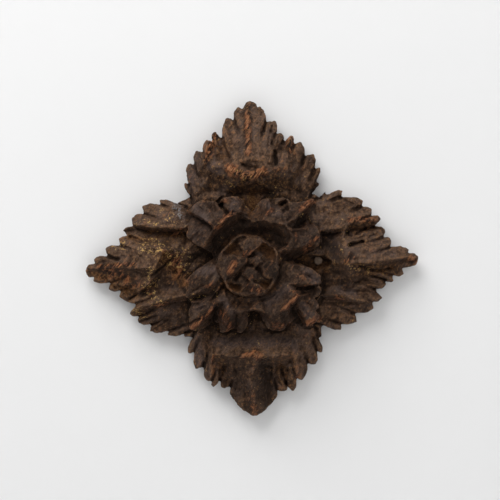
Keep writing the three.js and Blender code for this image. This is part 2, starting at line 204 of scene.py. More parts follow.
LEAF_CREASES = [
    # the leaf above: spine, worn lip over the hump, brow over the bead, and the hump's foot
    [(250.5, 99, 25), (249.5, 112, 34), (249.5, 140, 50), (250, 152, 56), (250, 159, 60)],
    [(226, 165, 50), (231, 169.5, 57), (238, 175.5, 61), (246, 179.5, 63), (254, 178.5, 63), (261, 174.5, 60),
     (269, 168, 54)],
    [(233, 164.5, 58), (240, 170, 62), (247.5, 173.5, 65), (256, 172.5, 64), (263, 169, 59)],
    [(242, 166, 56), (249, 169, 56), (257, 167, 56)], [(238, 162, 56), (250, 159, 60), (261, 161, 57)],
    [(212, 191, 33), (225, 193, 35), (250, 195, 37), (275, 193, 35), (287, 190, 33)],
    # its left side: blade's edge, hollow, side ridge, and the shelf that ends the hump
    [(216, 129, 30), (222, 140, 39), (227, 150, 45), (231, 158, 50), (233, 164, 55)],
    [(215, 133, 26), (219, 143, 30), (223, 152, 35), (226, 160, 42)],
    [(212, 130, 28), (209, 141, 41), (206, 152, 47), (205, 163, 47), (208, 178, 38), (210, 191, 32)],
    [(205, 163, 47), (212, 167, 48), (220, 168, 48), (226, 166, 50)],
    # its right side: blade's edge, hollow, lumps, side ridge
    [(281, 133, 27), (276, 143, 39), (271, 151, 46), (267, 158, 53)],
    [(284, 138, 28), (280, 147, 36), (275, 157, 42)],
    [(291, 134, 28), (289, 142, 43), (288, 152, 46), (288, 162, 49), (287, 170, 49), (290, 181, 38),
     (291, 191, 32)],
    [(270, 166, 54), (276, 170, 52), (281, 171, 51), (287, 170, 49)],
    [(185, 165, 24), (184, 185, 24), (187, 200, 24)], [(195, 150, 25), (203, 139, 26)],
    [(197, 160, 30), (197, 175, 30), (198, 192, 29)], [(316, 165, 24), (318, 180, 24), (312, 195, 24)],
    [(305, 150, 26), (298, 139, 26)], [(302, 160, 30), (302, 175, 30), (302, 190, 29)],
    [(224, 123, 27), (232, 115, 26), (239, 107, 26)], [(262, 106, 26), (274, 119, 26), (280, 129, 26)],
    # the leaf at the left: spine with the face falling off sharply below it, crest, valley to the flower
    [(84, 268, 25), (95, 268, 35), (115, 268, 45), (135, 267.5, 53), (150, 268, 59), (154, 269, 61)],
    [(93, 272, 28), (115, 272, 37), (135, 272, 44), (147, 275, 49)],
    [(176, 249, 50), (164, 251, 57), (159, 260, 61), (154, 269, 62), (148, 282, 56), (139, 292, 47)],
    [(168, 256, 46), (165, 265, 46), (162, 275, 44), (156, 285, 40)],
    [(184, 252, 42), (178, 264, 40), (184, 274, 34), (181, 286, 36)],
    # its upper lobe: undercut lower edge, groove, plate
    [(122, 229, 29), (132, 225.5, 38), (142, 225.5, 43), (152, 227.5, 47), (168, 227.5, 49), (186, 228, 50)],
    [(126, 231.5, 27), (134, 230, 28), (143, 230, 29), (152, 232, 29), (168, 232.5, 30), (186, 233, 33)],
    [(148, 240, 36), (165, 242, 40), (182, 242, 42)], [(143, 213, 34), (160, 210, 37), (178, 208, 38)],
    [(124, 224, 25), (131, 211, 25), (141, 203, 25), (157, 197, 26), (170, 200, 27), (180, 199, 27)],
    [(118, 240, 28), (128, 247, 40), (144, 246, 45), (160, 246, 51)],
    [(112, 235, 25), (103, 243, 25), (92, 257, 25)],
    [(90, 278, 24), (104, 288, 24), (117, 298, 24), (122, 306, 24)],
    [(108, 279, 32), (122, 282, 36), (136, 285, 40)],
    # its lower lobe: groove, ridge, and the flat below it
    [(127, 301, 27), (137, 297, 34), (148, 292, 38), (160, 289, 38), (174, 288, 38)],
    [(128, 309, 31), (141, 307, 42), (152, 304, 45), (163, 301, 48), (175, 297.5, 50), (188, 294, 51)],
    [(131, 314, 27), (142, 311, 31), (153, 308.5, 32), (164, 306, 33), (176, 303, 33), (188, 300, 34)],
    [(152, 319, 29), (170, 318, 31), (186, 317, 31)],
    [(137, 321, 24), (151, 331, 24), (167, 334, 24), (186, 332, 25)],
    # the leaf at the right: spine, crest, and the valley to the flower
    [(421, 260, 25), (407, 257, 34), (390, 259, 44), (376, 262, 51), (362, 263, 57), (350, 263, 61)],
    [(405, 262, 28), (390, 264, 35), (376, 267, 41), (362, 268, 48)],
    [(345, 230, 47), (342, 239, 53), (343, 249, 58), (345, 257, 61), (347, 265, 61), (349, 275, 54),
     (351, 283, 48)],
    [(322, 236, 34), (322, 249, 37), (322, 262, 40), (323, 275, 35), (323, 288, 33)],
    [(332, 241, 42), (333, 250, 46), (334, 262, 50), (335, 273, 43), (335, 285, 40)],
    # its upper lobe: undercut lower edge, rotted groove, plate
    [(320, 231, 44), (333, 228.5, 47), (348, 225, 49), (354, 221, 47), (370, 220, 41), (384, 219.5, 29)],
    [(322, 235, 33), (334, 234, 36), (350, 231, 35), (362, 229, 33), (380, 226, 27)],
    [(352, 238, 50), (362, 236, 43), (374, 234, 36), (384, 232, 27)],
    [(330, 209, 37), (345, 208, 36), (359, 211, 33)],
    [(323, 195, 26), (330, 189, 25), (345, 187, 25), (364, 199, 25), (375, 207, 25), (384, 213, 25)],
    [(388, 236, 25), (396, 243, 25), (410, 246, 25)], [(412, 271, 24), (402, 280, 24), (392, 286, 24)],
    [(366, 246, 48), (380, 246, 40), (394, 249, 32)], [(394, 273, 30), (380, 275, 33), (365, 276, 38)],
    # its lower lobe: groove, teeth, ridge, and the flat below it
    [(388, 283, 26), (374, 281, 31), (362, 280, 34), (354, 284, 40)],
    [(388, 289, 27), (374, 286, 37), (362, 285, 42)],
    [(380, 294, 28), (366, 291, 34), (352, 291, 40), (338, 290, 40)],
    [(321, 295, 44), (336, 295.5, 48), (345, 297.5, 48), (358, 300, 45), (374, 300.5, 37), (384, 297, 28)],
    [(322, 299, 33), (336, 300, 34), (346, 302.5, 34), (358, 305, 33), (374, 305, 29)],
    [(326, 314, 31), (340, 316, 30), (356, 313, 28)],
    [(322, 328, 25), (340, 333, 24), (350, 327, 24), (366, 316, 24)],
    # the leaf below: band over the hump, crest, spine, hollows and ridges at its sides, and the outer flats
    [(207, 329, 36), (230, 330, 38), (254, 331, 40), (280, 330, 38), (298, 329, 36)],
    [(213, 354, 51), (228, 355, 57), (240, 355.5, 61), (254, 352, 65), (260, 357, 64), (273, 355.5, 61),
     (284, 354, 58), (294, 357, 52)],
    [(260, 357, 64), (255, 366, 60), (251, 383, 53), (254, 400, 43), (255.5, 418, 27)],
    [(217, 361, 41), (223, 367, 36), (229, 378, 31), (233, 389, 26)],
    [(231, 360, 48), (237, 373, 42), (240, 390, 32)],
    [(289, 362, 41), (284, 367, 36), (279, 378, 31), (277, 389, 26)],
    [(264, 366, 48), (267, 378, 36), (268, 394, 27)],
    [(213, 354, 51), (211.5, 367, 45), (211.5, 378, 37), (214.8, 389, 26)],
    [(294, 357, 52), (296.5, 366, 47), (297, 375, 40), (294, 388, 27)],
    [(200, 335, 32), (202, 350, 32), (204, 368, 29)], [(310, 335, 32), (309, 350, 32), (306, 366, 29)],
    [(184, 340, 24), (187, 352, 24), (194, 368, 24), (205, 383, 24)],
    [(326, 345, 24), (324, 357, 24), (314, 371, 24), (304, 383, 24)],
    [(225, 392, 24), (232, 402, 24), (243, 414, 24)], [(268, 413, 24), (276, 403, 24), (284, 391, 24)],
]

# Carving too small for creases: the start and end of a stroke and its half width in pixels, and its rise in
# millimetres, or its fall where that is below 0.

LEAF_STROKES = [
    (247, 107, 248, 152, 6.5, 3.5), (254, 165.5, 255.5, 166, 2.8, 6), (243, 165, 246, 167, 2.2, -3),
    (218, 136, 229, 158, 2.4, -4.5), (217, 147, 221, 150, 2.4, -3), (224, 158, 227, 163, 2.2, 3),
    (270, 162, 271.5, 154, 3.6, 6), (282, 155, 281, 166, 6, 5), (275, 152, 276, 164, 2.5, -6),
    (349.5, 245, 362.5, 242, 3.2, -8), (346, 232, 352, 238, 3, -4), (356, 234, 366, 228, 2.2, -5),
    (366, 236, 374, 233, 2.2, 4), (358, 238, 366, 236, 1.8, -4), (371, 229, 380, 228, 2.5, -4),
    (360, 266, 372, 270, 4, -7), (376, 271, 392, 268, 3, -4), (152, 272, 142, 290, 3, -4),
    (163, 262, 176, 272, 4, -4), (143, 245, 155, 251, 2, -4), (222, 366, 226, 382, 6, -3),
    (283, 366, 279, 382, 7, -3), (274, 366, 272, 384, 2.5, 4), (219, 370, 220, 384, 1.8, -4),
    (287, 370, 286, 384, 1.8, -4), (279, 372, 281, 384, 1.8, 3), (232, 366, 234, 384, 2, 4),
    (207, 346, 209, 380, 2, -3), (300, 346, 298, 380, 2, -3), (100, 263, 112, 258, 2, -2),
    (112, 262, 124, 256, 2, -2), (152, 276, 172, 259, 2, -5), (130, 299, 156, 283, 2, -5),
    (146, 250, 154, 254, 1.8, -4), (120, 286, 134, 292, 2, -3), (104, 278, 116, 288, 2, -3),
    (166, 243, 178, 252, 2, -3), (128, 251, 142, 257, 2, -3), (222, 112, 230, 136, 1.8, -3),
    (268, 112, 262, 140, 1.8, -3), (272, 126, 268, 146, 1.8, -3), (338, 196, 352, 204, 2, -3),
    (350, 192, 362, 202, 2, -3), (366, 276, 384, 279, 2, -3), (334, 306, 352, 310, 2, -2),
    (140, 322, 156, 316, 2, -3), (156, 328, 168, 320, 2, -3),
]


def placed(pixels):
    """Places in pixels as x and z on the boss in millimetres."""
    return (np.array(pixels, float) - PICTURE_MIDDLE) * [PIXEL, -PIXEL]


def face_between(creases, x, z):
    """The height at every grid place: the creases are joined by triangles whose sides follow them, and each
    place takes the mean of its triangle's three corners, weighted by how near it lies to each."""
    rows = np.array([place for crease in creases for place in crease], float)
    places = placed(rows[:, :2])
    starts = np.cumsum([0] + [len(crease) for crease in creases[:-1]])
    edges = [(first + i, first + i + 1) for first, crease in zip(starts, creases)
             for i in range(len(crease) - 1)]
    found = delaunay_2d_cdt([Vector(place) for place in places], edges, [], 0, 1e-3)
    corners = np.array([tuple(place) for place in found[0]])
    nearest = np.argmin(np.hypot(*(corners[:, None] - places[None]).transpose(2, 0, 1)), axis=1)
    heights = rows[nearest, 2]
    height = np.full(x.shape, heights.min())
    for triangle in found[2]:
        (ax, az), (bx, bz), (cx, cz) = corners[list(triangle)]
        area = (bx - ax) * (cz - az) - (cx - ax) * (bz - az)
        share_b = ((x - ax) * (cz - az) - (cx - ax) * (z - az)) / area
        share_c = ((bx - ax) * (z - az) - (x - ax) * (bz - az)) / area
        share_a = 1 - share_b - share_c
        inside = np.minimum(np.minimum(share_a, share_b), share_c) >= -1e-6
        ha, hb, hc = heights[list(triangle)]
        height = np.where(inside, share_a * ha + share_b * hb + share_c * hc, height)
    return height


def worn_smooth(height, times):
    """Every place takes half its own height and half that of its four neighbours, again and again."""
    for _ in range(times):
        edge = np.pad(height, 1, mode="edge")
        beside = edge[:-2, 1:-1] + edge[2:, 1:-1] + edge[1:-1, :-2] + edge[1:-1, 2:]
        height = 0.5 * height + 0.125 * beside
    return height


def crisper(height, amount):
    """Every place moves further from the mean of its surroundings, so ridges stand and creases lie deep."""
    proud = height - worn_smooth(height, CRISP["reach"])
    return height + amount * np.clip(proud, -CRISP["most"], CRISP["most"])


def drawn(x, z, strokes, spread=1):
    """Each stroke of a table as its share from 0 to 1 at every place, with the value that ends its row."""
    for start_x, start_y, end_x, end_y, half_width, value in strokes:
        start, end = placed([(start_x, start_y), (end_x, end_y)])
        yield stroke(x, z, start, end, half_width * PIXEL * spread), value


def add_strokes(height, x, z, strokes):
    for share, rise in drawn(x, z, strokes):
        height = height + rise * share
    return height


def add_tooth_veins(height, x, z):
    """A shallow vein runs in from each notch between two teeth."""
    for leaf in LEAVES:
        out, side = on_leaf(leaf, x, z)
        for half, hand in ((leaf["right"], 1), (leaf["left"], -1)):
            run = np.array([-1, -hand * TOOTH_VEIN["inward"]]) * TOOTH_VEIN["length"]
            for notch in toothed_edge(leaf, half, hand)[1]:
                vein = stroke(out, side, notch, notch + run, TOOTH_VEIN["width"])
                fade = np.clip(1 - (notch[0] - out) / TOOTH_VEIN["length"], 0, 1)
                height = height - TOOTH_VEIN["depth"] * vein * fade
    return height


def grid_over(half_span, step):
    steps = np.arange(-half_span, half_span + step, step)
    return np.meshgrid(steps, steps, indexing="ij")


def leaf_face():
    x, z = grid_over(HALF_SPAN, GRID_STEP)
    height = face_between(LEAF_CREASES, x, z)
    height = EDGE_HEIGHT + (height - EDGE_HEIGHT) * np.where(height > EDGE_HEIGHT, RELIEF_RISE, 1)
    height = add_tooth_veins(add_strokes(height, x, z, LEAF_STROKES), x, z)
    height = crisper(height, CRISP["leaves"])
    away = edge_distance(x, z, np.vstack([leaf_edge(leaf) for leaf in LEAVES]))
    height = height - WORN_EDGE["fall"] * (1 - np.clip(away / WORN_EDGE["width"], 0, 1)) ** 2
    return np.stack([x, -height, z], axis=-1)


def ring_faces(rings, count):
    """Quads between neighbouring rings of equal length, and one face over each end."""
    ring, step = np.meshgrid(np.arange(rings - 1), np.arange(count), indexing="ij")
    here, beside = ring * count + step, ring * count + (step + 1) % count
    quads = np.stack([here, beside, beside + count, here + count], axis=-1).reshape(-1, 4)
    last = (rings - 1) * count
    return quads.tolist() + [list(range(count))[::-1], list(range(last, last + count))]


def slab_faces(rows, columns):
    """A grid above and the same grid below it, joined by quads around the rim."""
    row, column = np.meshgrid(np.arange(rows - 1), np.arange(columns - 1), indexing="ij")
    a = row * columns + column
    top = np.stack([a, a + columns, a + columns + 1, a + 1], axis=-1).reshape(-1, 4)
    below = top[:, ::-1] + rows * columns
    grid = np.arange(rows * columns).reshape(rows, columns)
    rim = np.concatenate([grid[0, :-1], grid[:-1, -1], grid[-1, :0:-1], grid[:0:-1, 0]])
    ahead = np.roll(rim, -1)
    steep_side_shade = np.stack([rim, ahead, ahead + rows * columns, rim + rows * columns], axis=-1)
    return np.vstack([top, below, steep_side_shade]).tolist()


def new_piece(name, points, faces):
    mesh = bpy.data.meshes.new(name)
    mesh.from_pydata((np.asarray(points).reshape(-1, 3) * MM).tolist(), [], faces)
    piece = bpy.data.objects.new(name, mesh)
    bpy.context.scene.collection.objects.link(piece)
    return piece


def level_ring(places, height):
    """Places given by x and z, all at one height over the back plane."""
    return np.column_stack([places[:, 0], np.full(len(places), -height), places[:, 1]])


def loft(name, rings):
    rings = np.asarray(rings)
    return new_piece(name, rings, ring_faces(rings.shape[0], rings.shape[1]))


def finished(piece):
    """The piece's mesh with its modifiers carried out."""
    mesh = bpy.data.meshes.new_from_object(piece.evaluated_get(bpy.context.evaluated_depsgraph_get()))
    piece.modifiers.clear()
    piece.data = mesh
    return piece


def carve(piece, tool, operation):
    cut = piece.modifiers.new("cut", "BOOLEAN")
    cut.operation, cut.solver, cut.object = operation, "MANIFOLD", tool
    finished(piece)
    bpy.data.objects.remove(tool)


def relief_block(name, face, sole_height):
    """A block whose top is the relief and whose flat sole lies at the given height."""
    sole = face * [1, 0, 1] + [0, -sole_height, 0]
    return new_piece(name, np.stack([face, sole]), slab_faces(*face.shape[:2]))


def upright_cut(name, loop, levels):
    """The sawn or chiselled side of a tier: at each level, the outline drawn in about the heart to a share of
    its size."""
    return loft(name, [level_ring(mix(HEART, loop, share), height) for share, height in levels])


outline = corners_worn(np.vstack([leaf_edge(leaf) for leaf in LEAVES]))
boss = relief_block("carved_boss", leaf_face(), LEAF_SOLE)
carve(boss, upright_cut("sawn_edge", outline, LEAF_SIDE), "INTERSECT")


# The flower
#
# The second tier is a ruffled flower of folded plates over the leaves' feet, with a leaf-like point at each
# corner of its square. Inside its worn rim the timber is gouged out to a dark cup round the bud. It is laid
# out and cut as the leaves are: its outline runs round from the upper left corner over the top.

FLOWER_OUTLINE = [
    (189.5, 210), (196, 203), (203, 200.5), (212, 201), (219, 203), (222, 199.5), (229, 197), (237, 197),
    (243, 200.5), (246, 205), (250, 211), (254, 211), (257.5, 205), (260, 201.5), (265, 199), (271, 199.5),
    (275, 198.5), (285, 198), (291, 202), (302, 202.5), (309, 199), (315, 199), (316, 204), (313, 215),
    (311, 222), (316, 227), (319, 232), (319.5, 239), (318, 247), (310, 253), (303, 256), (298, 260),
    (303, 265), (315, 270), (320.5, 276), (321, 283), (317, 284.5), (321, 290), (318, 296), (313, 298),
    (316.5, 300), (317.5, 307), (314, 310), (319.5, 315), (318, 320.5), (306, 325.5), (300, 326), (292, 326),
    (287, 324), (283.5, 329), (276.5, 331), (269.5, 329), (264, 322), (260.5, 315.5), (257, 312), (251, 312),
    (248, 317.5), (246.5, 327), (241, 332), (236, 331), (231.5, 329), (225, 332), (219.5, 331), (219, 323),
    (215, 327), (208, 329), (198, 331), (191, 329.5), (188.5, 323), (190.5, 318.5), (189, 311.5),
    (190.5, 303), (194, 298.5), (187.5, 298), (186.5, 292), (188.5, 286), (186.5, 281), (190.5, 275),
    (200, 268), (206, 263.5), (213, 258), (211, 252), (203.5, 248), (195, 244), (187, 236), (188.5, 226),
    (189.5, 218), (188, 214),
]
FLOWER_SIDE = [(0.76, 12), (0.80, 36), (0.90, 56), (0.985, 68), (1, 74), (1, 140)]     # share, height
FLOWER_GRID = dict(half_span=112, step=1.2)
FLOWER_SOLE = 12

FLOWER_CREASES = [
    # upper left corner: the raised plate's edge over the lower plate, the rim, and the wall down to the cup
    [(188, 211, 75), (197, 215.5, 88), (205, 220, 97), (215, 228, 105)],
    [(189, 215, 61), (198, 218.5, 71), (206, 223, 80), (212, 229, 91)],
    [(187, 236, 77), (195, 244, 80), (203.5, 247, 90), (209, 238, 100), (215, 228, 104), (224, 222, 105),
     (233, 216, 103), (241, 213, 96), (247, 218, 88), (254, 222, 89), (262, 220.5, 97), (271, 223, 101),
     (285, 225, 104), (292, 237, 103), (289, 245, 100), (278, 252, 95)],
    [(200, 233, 91)], [(193, 226, 80)],
    [(214, 249, 78), (215, 240, 84), (221, 233, 86), (229, 229, 83), (238, 224, 82), (247, 227, 80),
     (255, 229, 80), (264, 228, 84), (273, 231, 83), (280, 238, 82), (281, 246, 80)],
    [(196, 202, 74), (203, 199.5, 76), (212, 200, 78), (217, 205, 80)],
    [(203, 207, 83), (211, 214, 91), (219, 219, 99)],
    # the two rounded lobes at the top, and the valley between them
    [(222, 206, 80), (224, 212, 90)],
    [(221, 199, 82), (229, 196, 80), (237, 196, 80), (244, 201, 76), (246, 206, 72)],
    [(228, 204, 92), (234, 204, 95), (240, 208, 91)], [(231, 211, 99)], [(252, 209, 60), (252, 214.5, 78)],
    [(258, 208, 74), (260, 202, 78), (265, 198, 80), (271, 199, 82)], [(265, 206, 94), (266, 213, 97)],
    # upper right corner: ridge with a broad plate left of it and a deep valley right of it, lower plate
    [(274, 206, 86), (278, 214, 95)], [(275, 197.5, 80), (285, 197, 78), (292, 201, 76), (303, 201.5, 76)],
    [(290, 208, 82), (292, 216, 92)], [(315, 199, 76), (304, 209, 87), (295, 217, 96), (285, 225, 104)],
    [(314, 210, 48), (307, 217, 52), (299, 224, 64), (293, 229, 88)],
    [(292, 230.5, 98), (304, 228, 90), (316, 227.5, 78)], [(305, 237, 93)],
    [(319.5, 233, 78), (319, 240, 78)],
    [(278, 252, 95), (290, 249, 98), (300, 246.5, 94), (309, 244, 88), (318, 246, 76)],
    [(284, 256, 82), (294, 253.5, 78), (303, 251, 66), (311, 252, 56)],
    [(283, 261, 80), (292, 260, 66), (298, 261, 48), (304, 262, 44)],
    # the plate under the nail's hollow and the curled tip below it
    [(281, 266, 84), (290, 264.5, 88), (299, 265, 86), (309, 268, 80), (320, 276, 78)],
    [(302, 275, 93), (292, 272, 92)], [(286, 284, 90), (297, 283.5, 95), (308, 283, 90), (321, 283, 78)],
    [(299, 287, 84), (306, 288, 77), (313, 288, 76)], [(315, 286, 84), (320, 290, 84), (317, 295, 80)],
    [(302, 292, 80), (309, 293, 76)],
    # lower right corner: rim, plate, and the deep valley beside it
    [(303, 295, 96), (297, 295, 100), (290, 301, 102), (284, 307, 102), (278, 312, 98), (270, 316, 94),
     (262, 310.5, 93), (254, 308, 91), (247, 310, 93), (239, 311, 96), (233, 309, 95)],
    [(303, 298.5, 93), (316, 299.5, 78)], [(297, 300, 94), (299, 307, 92), (304, 316, 88), (306, 325, 78)],
    [(309, 307, 90), (312, 314, 86)], [(319, 315, 77), (317, 321, 76)],
    [(292, 309, 72), (295, 313, 58), (298, 318, 48), (299, 327, 40)],
    [(287, 309, 96), (288, 318, 80), (289, 326, 60)],
    # the lobes at the foot and the arch between them
    [(280, 319, 92), (278, 327, 82), (284, 328, 79)], [(272, 321, 90), (270, 328, 79)],
    [(265, 320, 80), (261, 315, 78)], [(257, 312.5, 64), (254, 311.5, 62), (250, 312.5, 64)],
    [(248, 316, 78), (243, 319, 88), (242, 330, 78)], [(247, 327, 76)],
    [(236, 314, 84), (236, 322, 76), (234, 330, 66)],
    [(225, 290, 87), (227, 299, 94), (228, 307, 97), (226, 318, 93), (225, 330, 80)],
    [(232, 318, 86), (231, 328, 76)], [(221, 305, 84), (220, 314, 76), (219, 323, 66)],
    [(216, 309, 72), (214, 318, 52), (212, 328, 42)],
    # lower left corner, and the plate at the left
    [(192, 301, 76), (204, 300.5, 89), (218, 302.5, 98)],
    [(218, 302.5, 98), (212, 311, 92), (203, 320, 86), (191, 329, 77)], [(204, 308, 92), (196, 316, 84)],
    [(189, 312, 75), (188, 323, 75)], [(207, 322, 72), (200, 330, 66)],
    [(190, 299, 64), (201, 297, 72), (211, 294, 82), (218, 295, 86)],
    [(187, 297, 76), (200, 291.5, 84), (210, 285.5, 92), (219, 279, 94), (222, 271, 92)],
    [(187, 281, 77), (191, 275, 78), (200, 267.5, 80), (207, 263, 82), (214, 263, 88), (222, 271, 92)],
    [(203, 276, 92), (194, 284, 84)], [(206, 259, 60), (213, 257, 68), (217, 257, 78)], [(218, 285, 88)],
    # the cup's floor round the bud
    [(216, 262, 82), (219, 250, 78), (227, 240, 75), (238, 233, 74), (249, 231, 75), (262, 234, 74),
     (272, 241, 74), (278, 252, 76)],
    [(281, 266, 84), (280, 276, 84), (273, 288, 84), (262, 297, 84), (249, 300, 84), (236, 297, 83),
     (226, 289, 79), (219, 279, 84)],
    [(284, 292, 88), (277, 301, 88), (267, 307, 87)], [(249, 304, 82)], [(234, 302, 84)], [(249, 265, 70)],
    [(170, 180, 50), (330, 180, 50), (340, 350, 50), (170, 350, 50)],
]
FLOWER_STROKES = [
    (281, 204.5, 285, 203, 3.4, -10), (286, 206, 287, 210, 2.4, -6), (217, 201, 228, 214, 2.6, -8),
    (272, 200, 274, 213, 2.6, -5), (222, 205, 223, 208, 3, -7), (213, 203, 214, 210, 2.2, 4),
    (309, 203, 312, 201, 4, 3), (205, 203, 212, 216, 2.5, 3), (240, 217, 243, 222, 5, -5),
    (296, 318, 292, 328, 4, -4), (275, 325, 285, 325, 4, 4), (224, 318, 230, 325, 4, 3),
    (240, 325, 241, 330, 4, 3), (305, 302, 312, 306, 2, -3), (196, 310, 206, 306, 2, -3),
    (190, 323, 200, 318, 1.6, -4), (233, 213, 246, 216, 2.2, -4), (283, 211, 283, 222, 2, -4),
    (287, 221, 303, 205, 1.8, -3), (293, 221, 308, 206, 1.8, 3), (288, 230, 305, 229.5, 1.8, 4),
    (296, 289, 316, 285.5, 2.4, -6), (212, 300, 225, 286, 2.2, -4), (191, 304, 199, 304, 1.6, -4),
    (262, 300, 280, 292, 2.2, -3), (203, 211, 196, 205, 2, -3), (200, 232, 192, 240, 2, -3),
    (268, 203, 267, 213, 1.8, -3), (232, 200, 230, 210, 2, -3), (225, 300, 222, 314, 2, 3),
    (305, 274, 316, 280, 2, -3), (204, 285, 194, 291, 2, -3), (300, 305, 309, 316, 2, -3),
    (195, 240, 206, 232, 2, -2), (296, 270, 312, 276, 3, -2),
]

# The bud
#
# The bud in the flower's middle is a low ring with folded petals in it. All of it was left standing in the
# block by cutting deep pockets between. A petal is the corners of its face, in pixels, with their heights.

BUD = dict(x=248.6, y=265.3, radius=30.4, wall=2.6)     # in pixels
BUD_BED = 97.0
BUD_LIP = dict(height=101.5, fall=3, round_from=1.2, round_to=0.6)
LIP_WAVES = [(2.0, 3, 1), (1.4, 7, 0), (1.0, 11, 2)]    # height, crests round the ring, shift
RING_WAVES = [(0.9, 5, 2), (0.5, 9, 0)]                 # the same of the ring's radius, in pixels
PETAL = dict(raised=1.5, fall=3, rounding=2.2)
BUD_POCKETS = [
    (229, 251, 235, 245, 6, -7), (262, 248, 270, 254, 6.5, -9), (227, 285, 238, 289, 5.5, -8),
    (263, 284, 273, 287, 5.5, -8), (240, 273, 236, 280, 3, -6), (258, 262, 256, 268, 2, -5),
]
PETALS = [
    [(237, 243.5, 101), (248, 237, 103), (256, 237.5, 103), (264, 242, 101), (257.5, 249, 105),
     (250, 255, 110), (245.5, 257, 111), (242.5, 251.5, 106)],
    [(217.5, 265, 101), (219.5, 255, 102), (231.5, 253.5, 103), (241, 256, 108), (248.5, 257.5, 106),
     (248, 262, 104), (240.5, 269.5, 104), (232.5, 275.5, 102), (225, 281, 100), (219.5, 273, 101)],
    [(248, 257.5, 104), (256, 254.5, 106), (262, 256.5, 107), (263.5, 261.5, 106), (256.5, 268, 103),
     (249, 263.5, 103)],
    [(259.5, 266.5, 103), (266.5, 260.5, 107), (273.5, 259.5, 107), (278.5, 266.5, 105), (278, 275, 102),
     (270, 280, 101), (263.5, 277.5, 102)],
    [(242, 274, 106), (248, 266.5, 109), (254, 266.5, 110), (258.5, 272.5, 108), (258, 279, 106),
     (250, 282, 106)],
    [(243.5, 285.5, 104), (252, 280, 107), (260, 284, 106), (268, 291.5, 101), (262, 295, 99), (252, 296, 98),
     (238, 293.5, 99)],
]


def within(x, z, loop):
    """Whether each place lies in a closed outline: a line from it to the far side crosses it an odd number of
    times."""
    inside = np.zeros(x.shape, bool)
    for (ax, az), (bx, bz) in zip(loop, np.roll(loop, -1, axis=0)):
        if az != bz:
            inside ^= ((az > z) != (bz > z)) & (x < (bx - ax) * (z - az) / (bz - az) + ax)
    return inside


def ripple(turn, waves):
    """The sum of the waves that run round a ring, at each turn about its middle."""
    return sum(height * np.sin(crests * turn + shift) for height, crests, shift in waves)


def petal_face(corners, x, z):
    """A petal's face runs straight between its corners and its raised middle, and is rounded at its edge."""
    middle = list(np.mean(corners, axis=0) + [0, 0, PETAL["raised"]])
    spokes = [[corner, ahead] for corner, ahead in zip(corners, corners[1:] + corners[:1])]
    face = face_between([[middle]] + spokes, x, z)
    loop = placed(np.array(corners)[:, :2])
    rounding = (1 - np.clip(edge_distance(x, z, loop) / PETAL["rounding"], 0, 1)) ** 2
    return np.where(within(x, z, loop), face - PETAL["fall"] * rounding, 0)


def flower_face():
    x, z = grid_over(FLOWER_GRID["half_span"], FLOWER_GRID["step"])
    height = face_between(FLOWER_CREASES, x, z)
    height = crisper(add_strokes(height, x, z, FLOWER_STROKES), CRISP["flower"])
    middle = placed([(BUD["x"], BUD["y"])])[0]
    turn = np.arctan2(z - middle[1], x - middle[0])
    away = np.hypot(x - middle[0], z - middle[1]) / PIXEL + ripple(turn, RING_WAVES)
    bed = add_strokes(np.full(x.shape, BUD_BED), x, z, BUD_POCKETS)
    height = np.where(away < BUD["radius"], bed, height)
    rounding = ease(BUD["radius"] - BUD_LIP["round_from"], BUD["radius"] + BUD_LIP["round_to"], away)
    lip = BUD_LIP["height"] + ripple(turn, LIP_WAVES) - BUD_LIP["fall"] * rounding
    height = np.where((away > BUD["radius"] - BUD["wall"]) & (away < BUD["radius"]), lip, height)
    petals = np.maximum.reduce([petal_face(corners, x, z) for corners in PETALS])
    height = crisper(np.maximum(height, petals), CRISP["bud"])
    return np.stack([x, -height, z], axis=-1)


flower_loop = placed(FLOWER_OUTLINE)
flower = relief_block("flower_tier", flower_face(), FLOWER_SOLE)
carve(flower, upright_cut("flower_edge", corners_worn(flower_loop), FLOWER_SIDE), "INTERSECT")


# The block
#
# Leaves, flower and bud are one block of timber, so here they become one skin. The nail's hollow is gouged
# out of it and its back is sawn flat. Then the chisel's marks, the grain and the wear go over the whole face.

SKIN_STEP = 1.2
MOST_TRIANGLES = 190000
NAIL_HOLLOW = dict(x=90, z=-1, wide=20, tall=10)
HOLLOW_LEVELS = [(0.8, 33), (0.95, 35), (1.05, 39), (1.5, 70)]     # share, height
SAW_REACH = 300
SAW_DEPTH = 60
RING_SIDES = 48
SQUARE = np.array([[-1, -1], [1, -1], [1, 1], [-1, 1]])


def read(items, field, width, kind=float):
    """One field of all a mesh's vertices, edges or triangles, a row for each."""
    values = np.empty(len(items) * width, dtype=kind)
    items.foreach_get(field, values)
    return values.reshape(-1, width)


def shell_faces_outward(piece):
    """A shell whose faces look inward has a volume below 0. Its faces are turned over."""
    mesh = piece.data
    mesh.update()
    mesh.calc_loop_triangles()
    triangles = read(mesh.loop_triangles, "vertices", 3, int)
    a, b, c = read(mesh.vertices, "co", 3)[triangles].transpose(1, 0, 2)
    if np.einsum("ij,ij->", a, np.cross(b, c)) < 0:
        mesh.flip_normals()


def circle(x, z, turn, wide, tall):
    return np.column_stack([x + wide * np.cos(turn), z + tall * np.sin(turn)])


def rounded_hollow():
    """A gouged trough: level rings that widen from its floor up."""
    turn = np.linspace(0, 2 * math.pi, RING_SIDES, endpoint=False)
    return [level_ring(circle(NAIL_HOLLOW["x"], NAIL_HOLLOW["z"], turn, NAIL_HOLLOW["wide"] * share,
                              NAIL_HOLLOW["tall"] * share), height) for share, height in HOLLOW_LEVELS]


for shell in (boss, flower):
    shell_faces_outward(shell)
carve(boss, flower, "UNION")
skin = boss.modifiers.new("skin", "REMESH")
skin.mode, skin.voxel_size, skin.adaptivity = "VOXEL", SKIN_STEP * MM, 0
finished(boss)

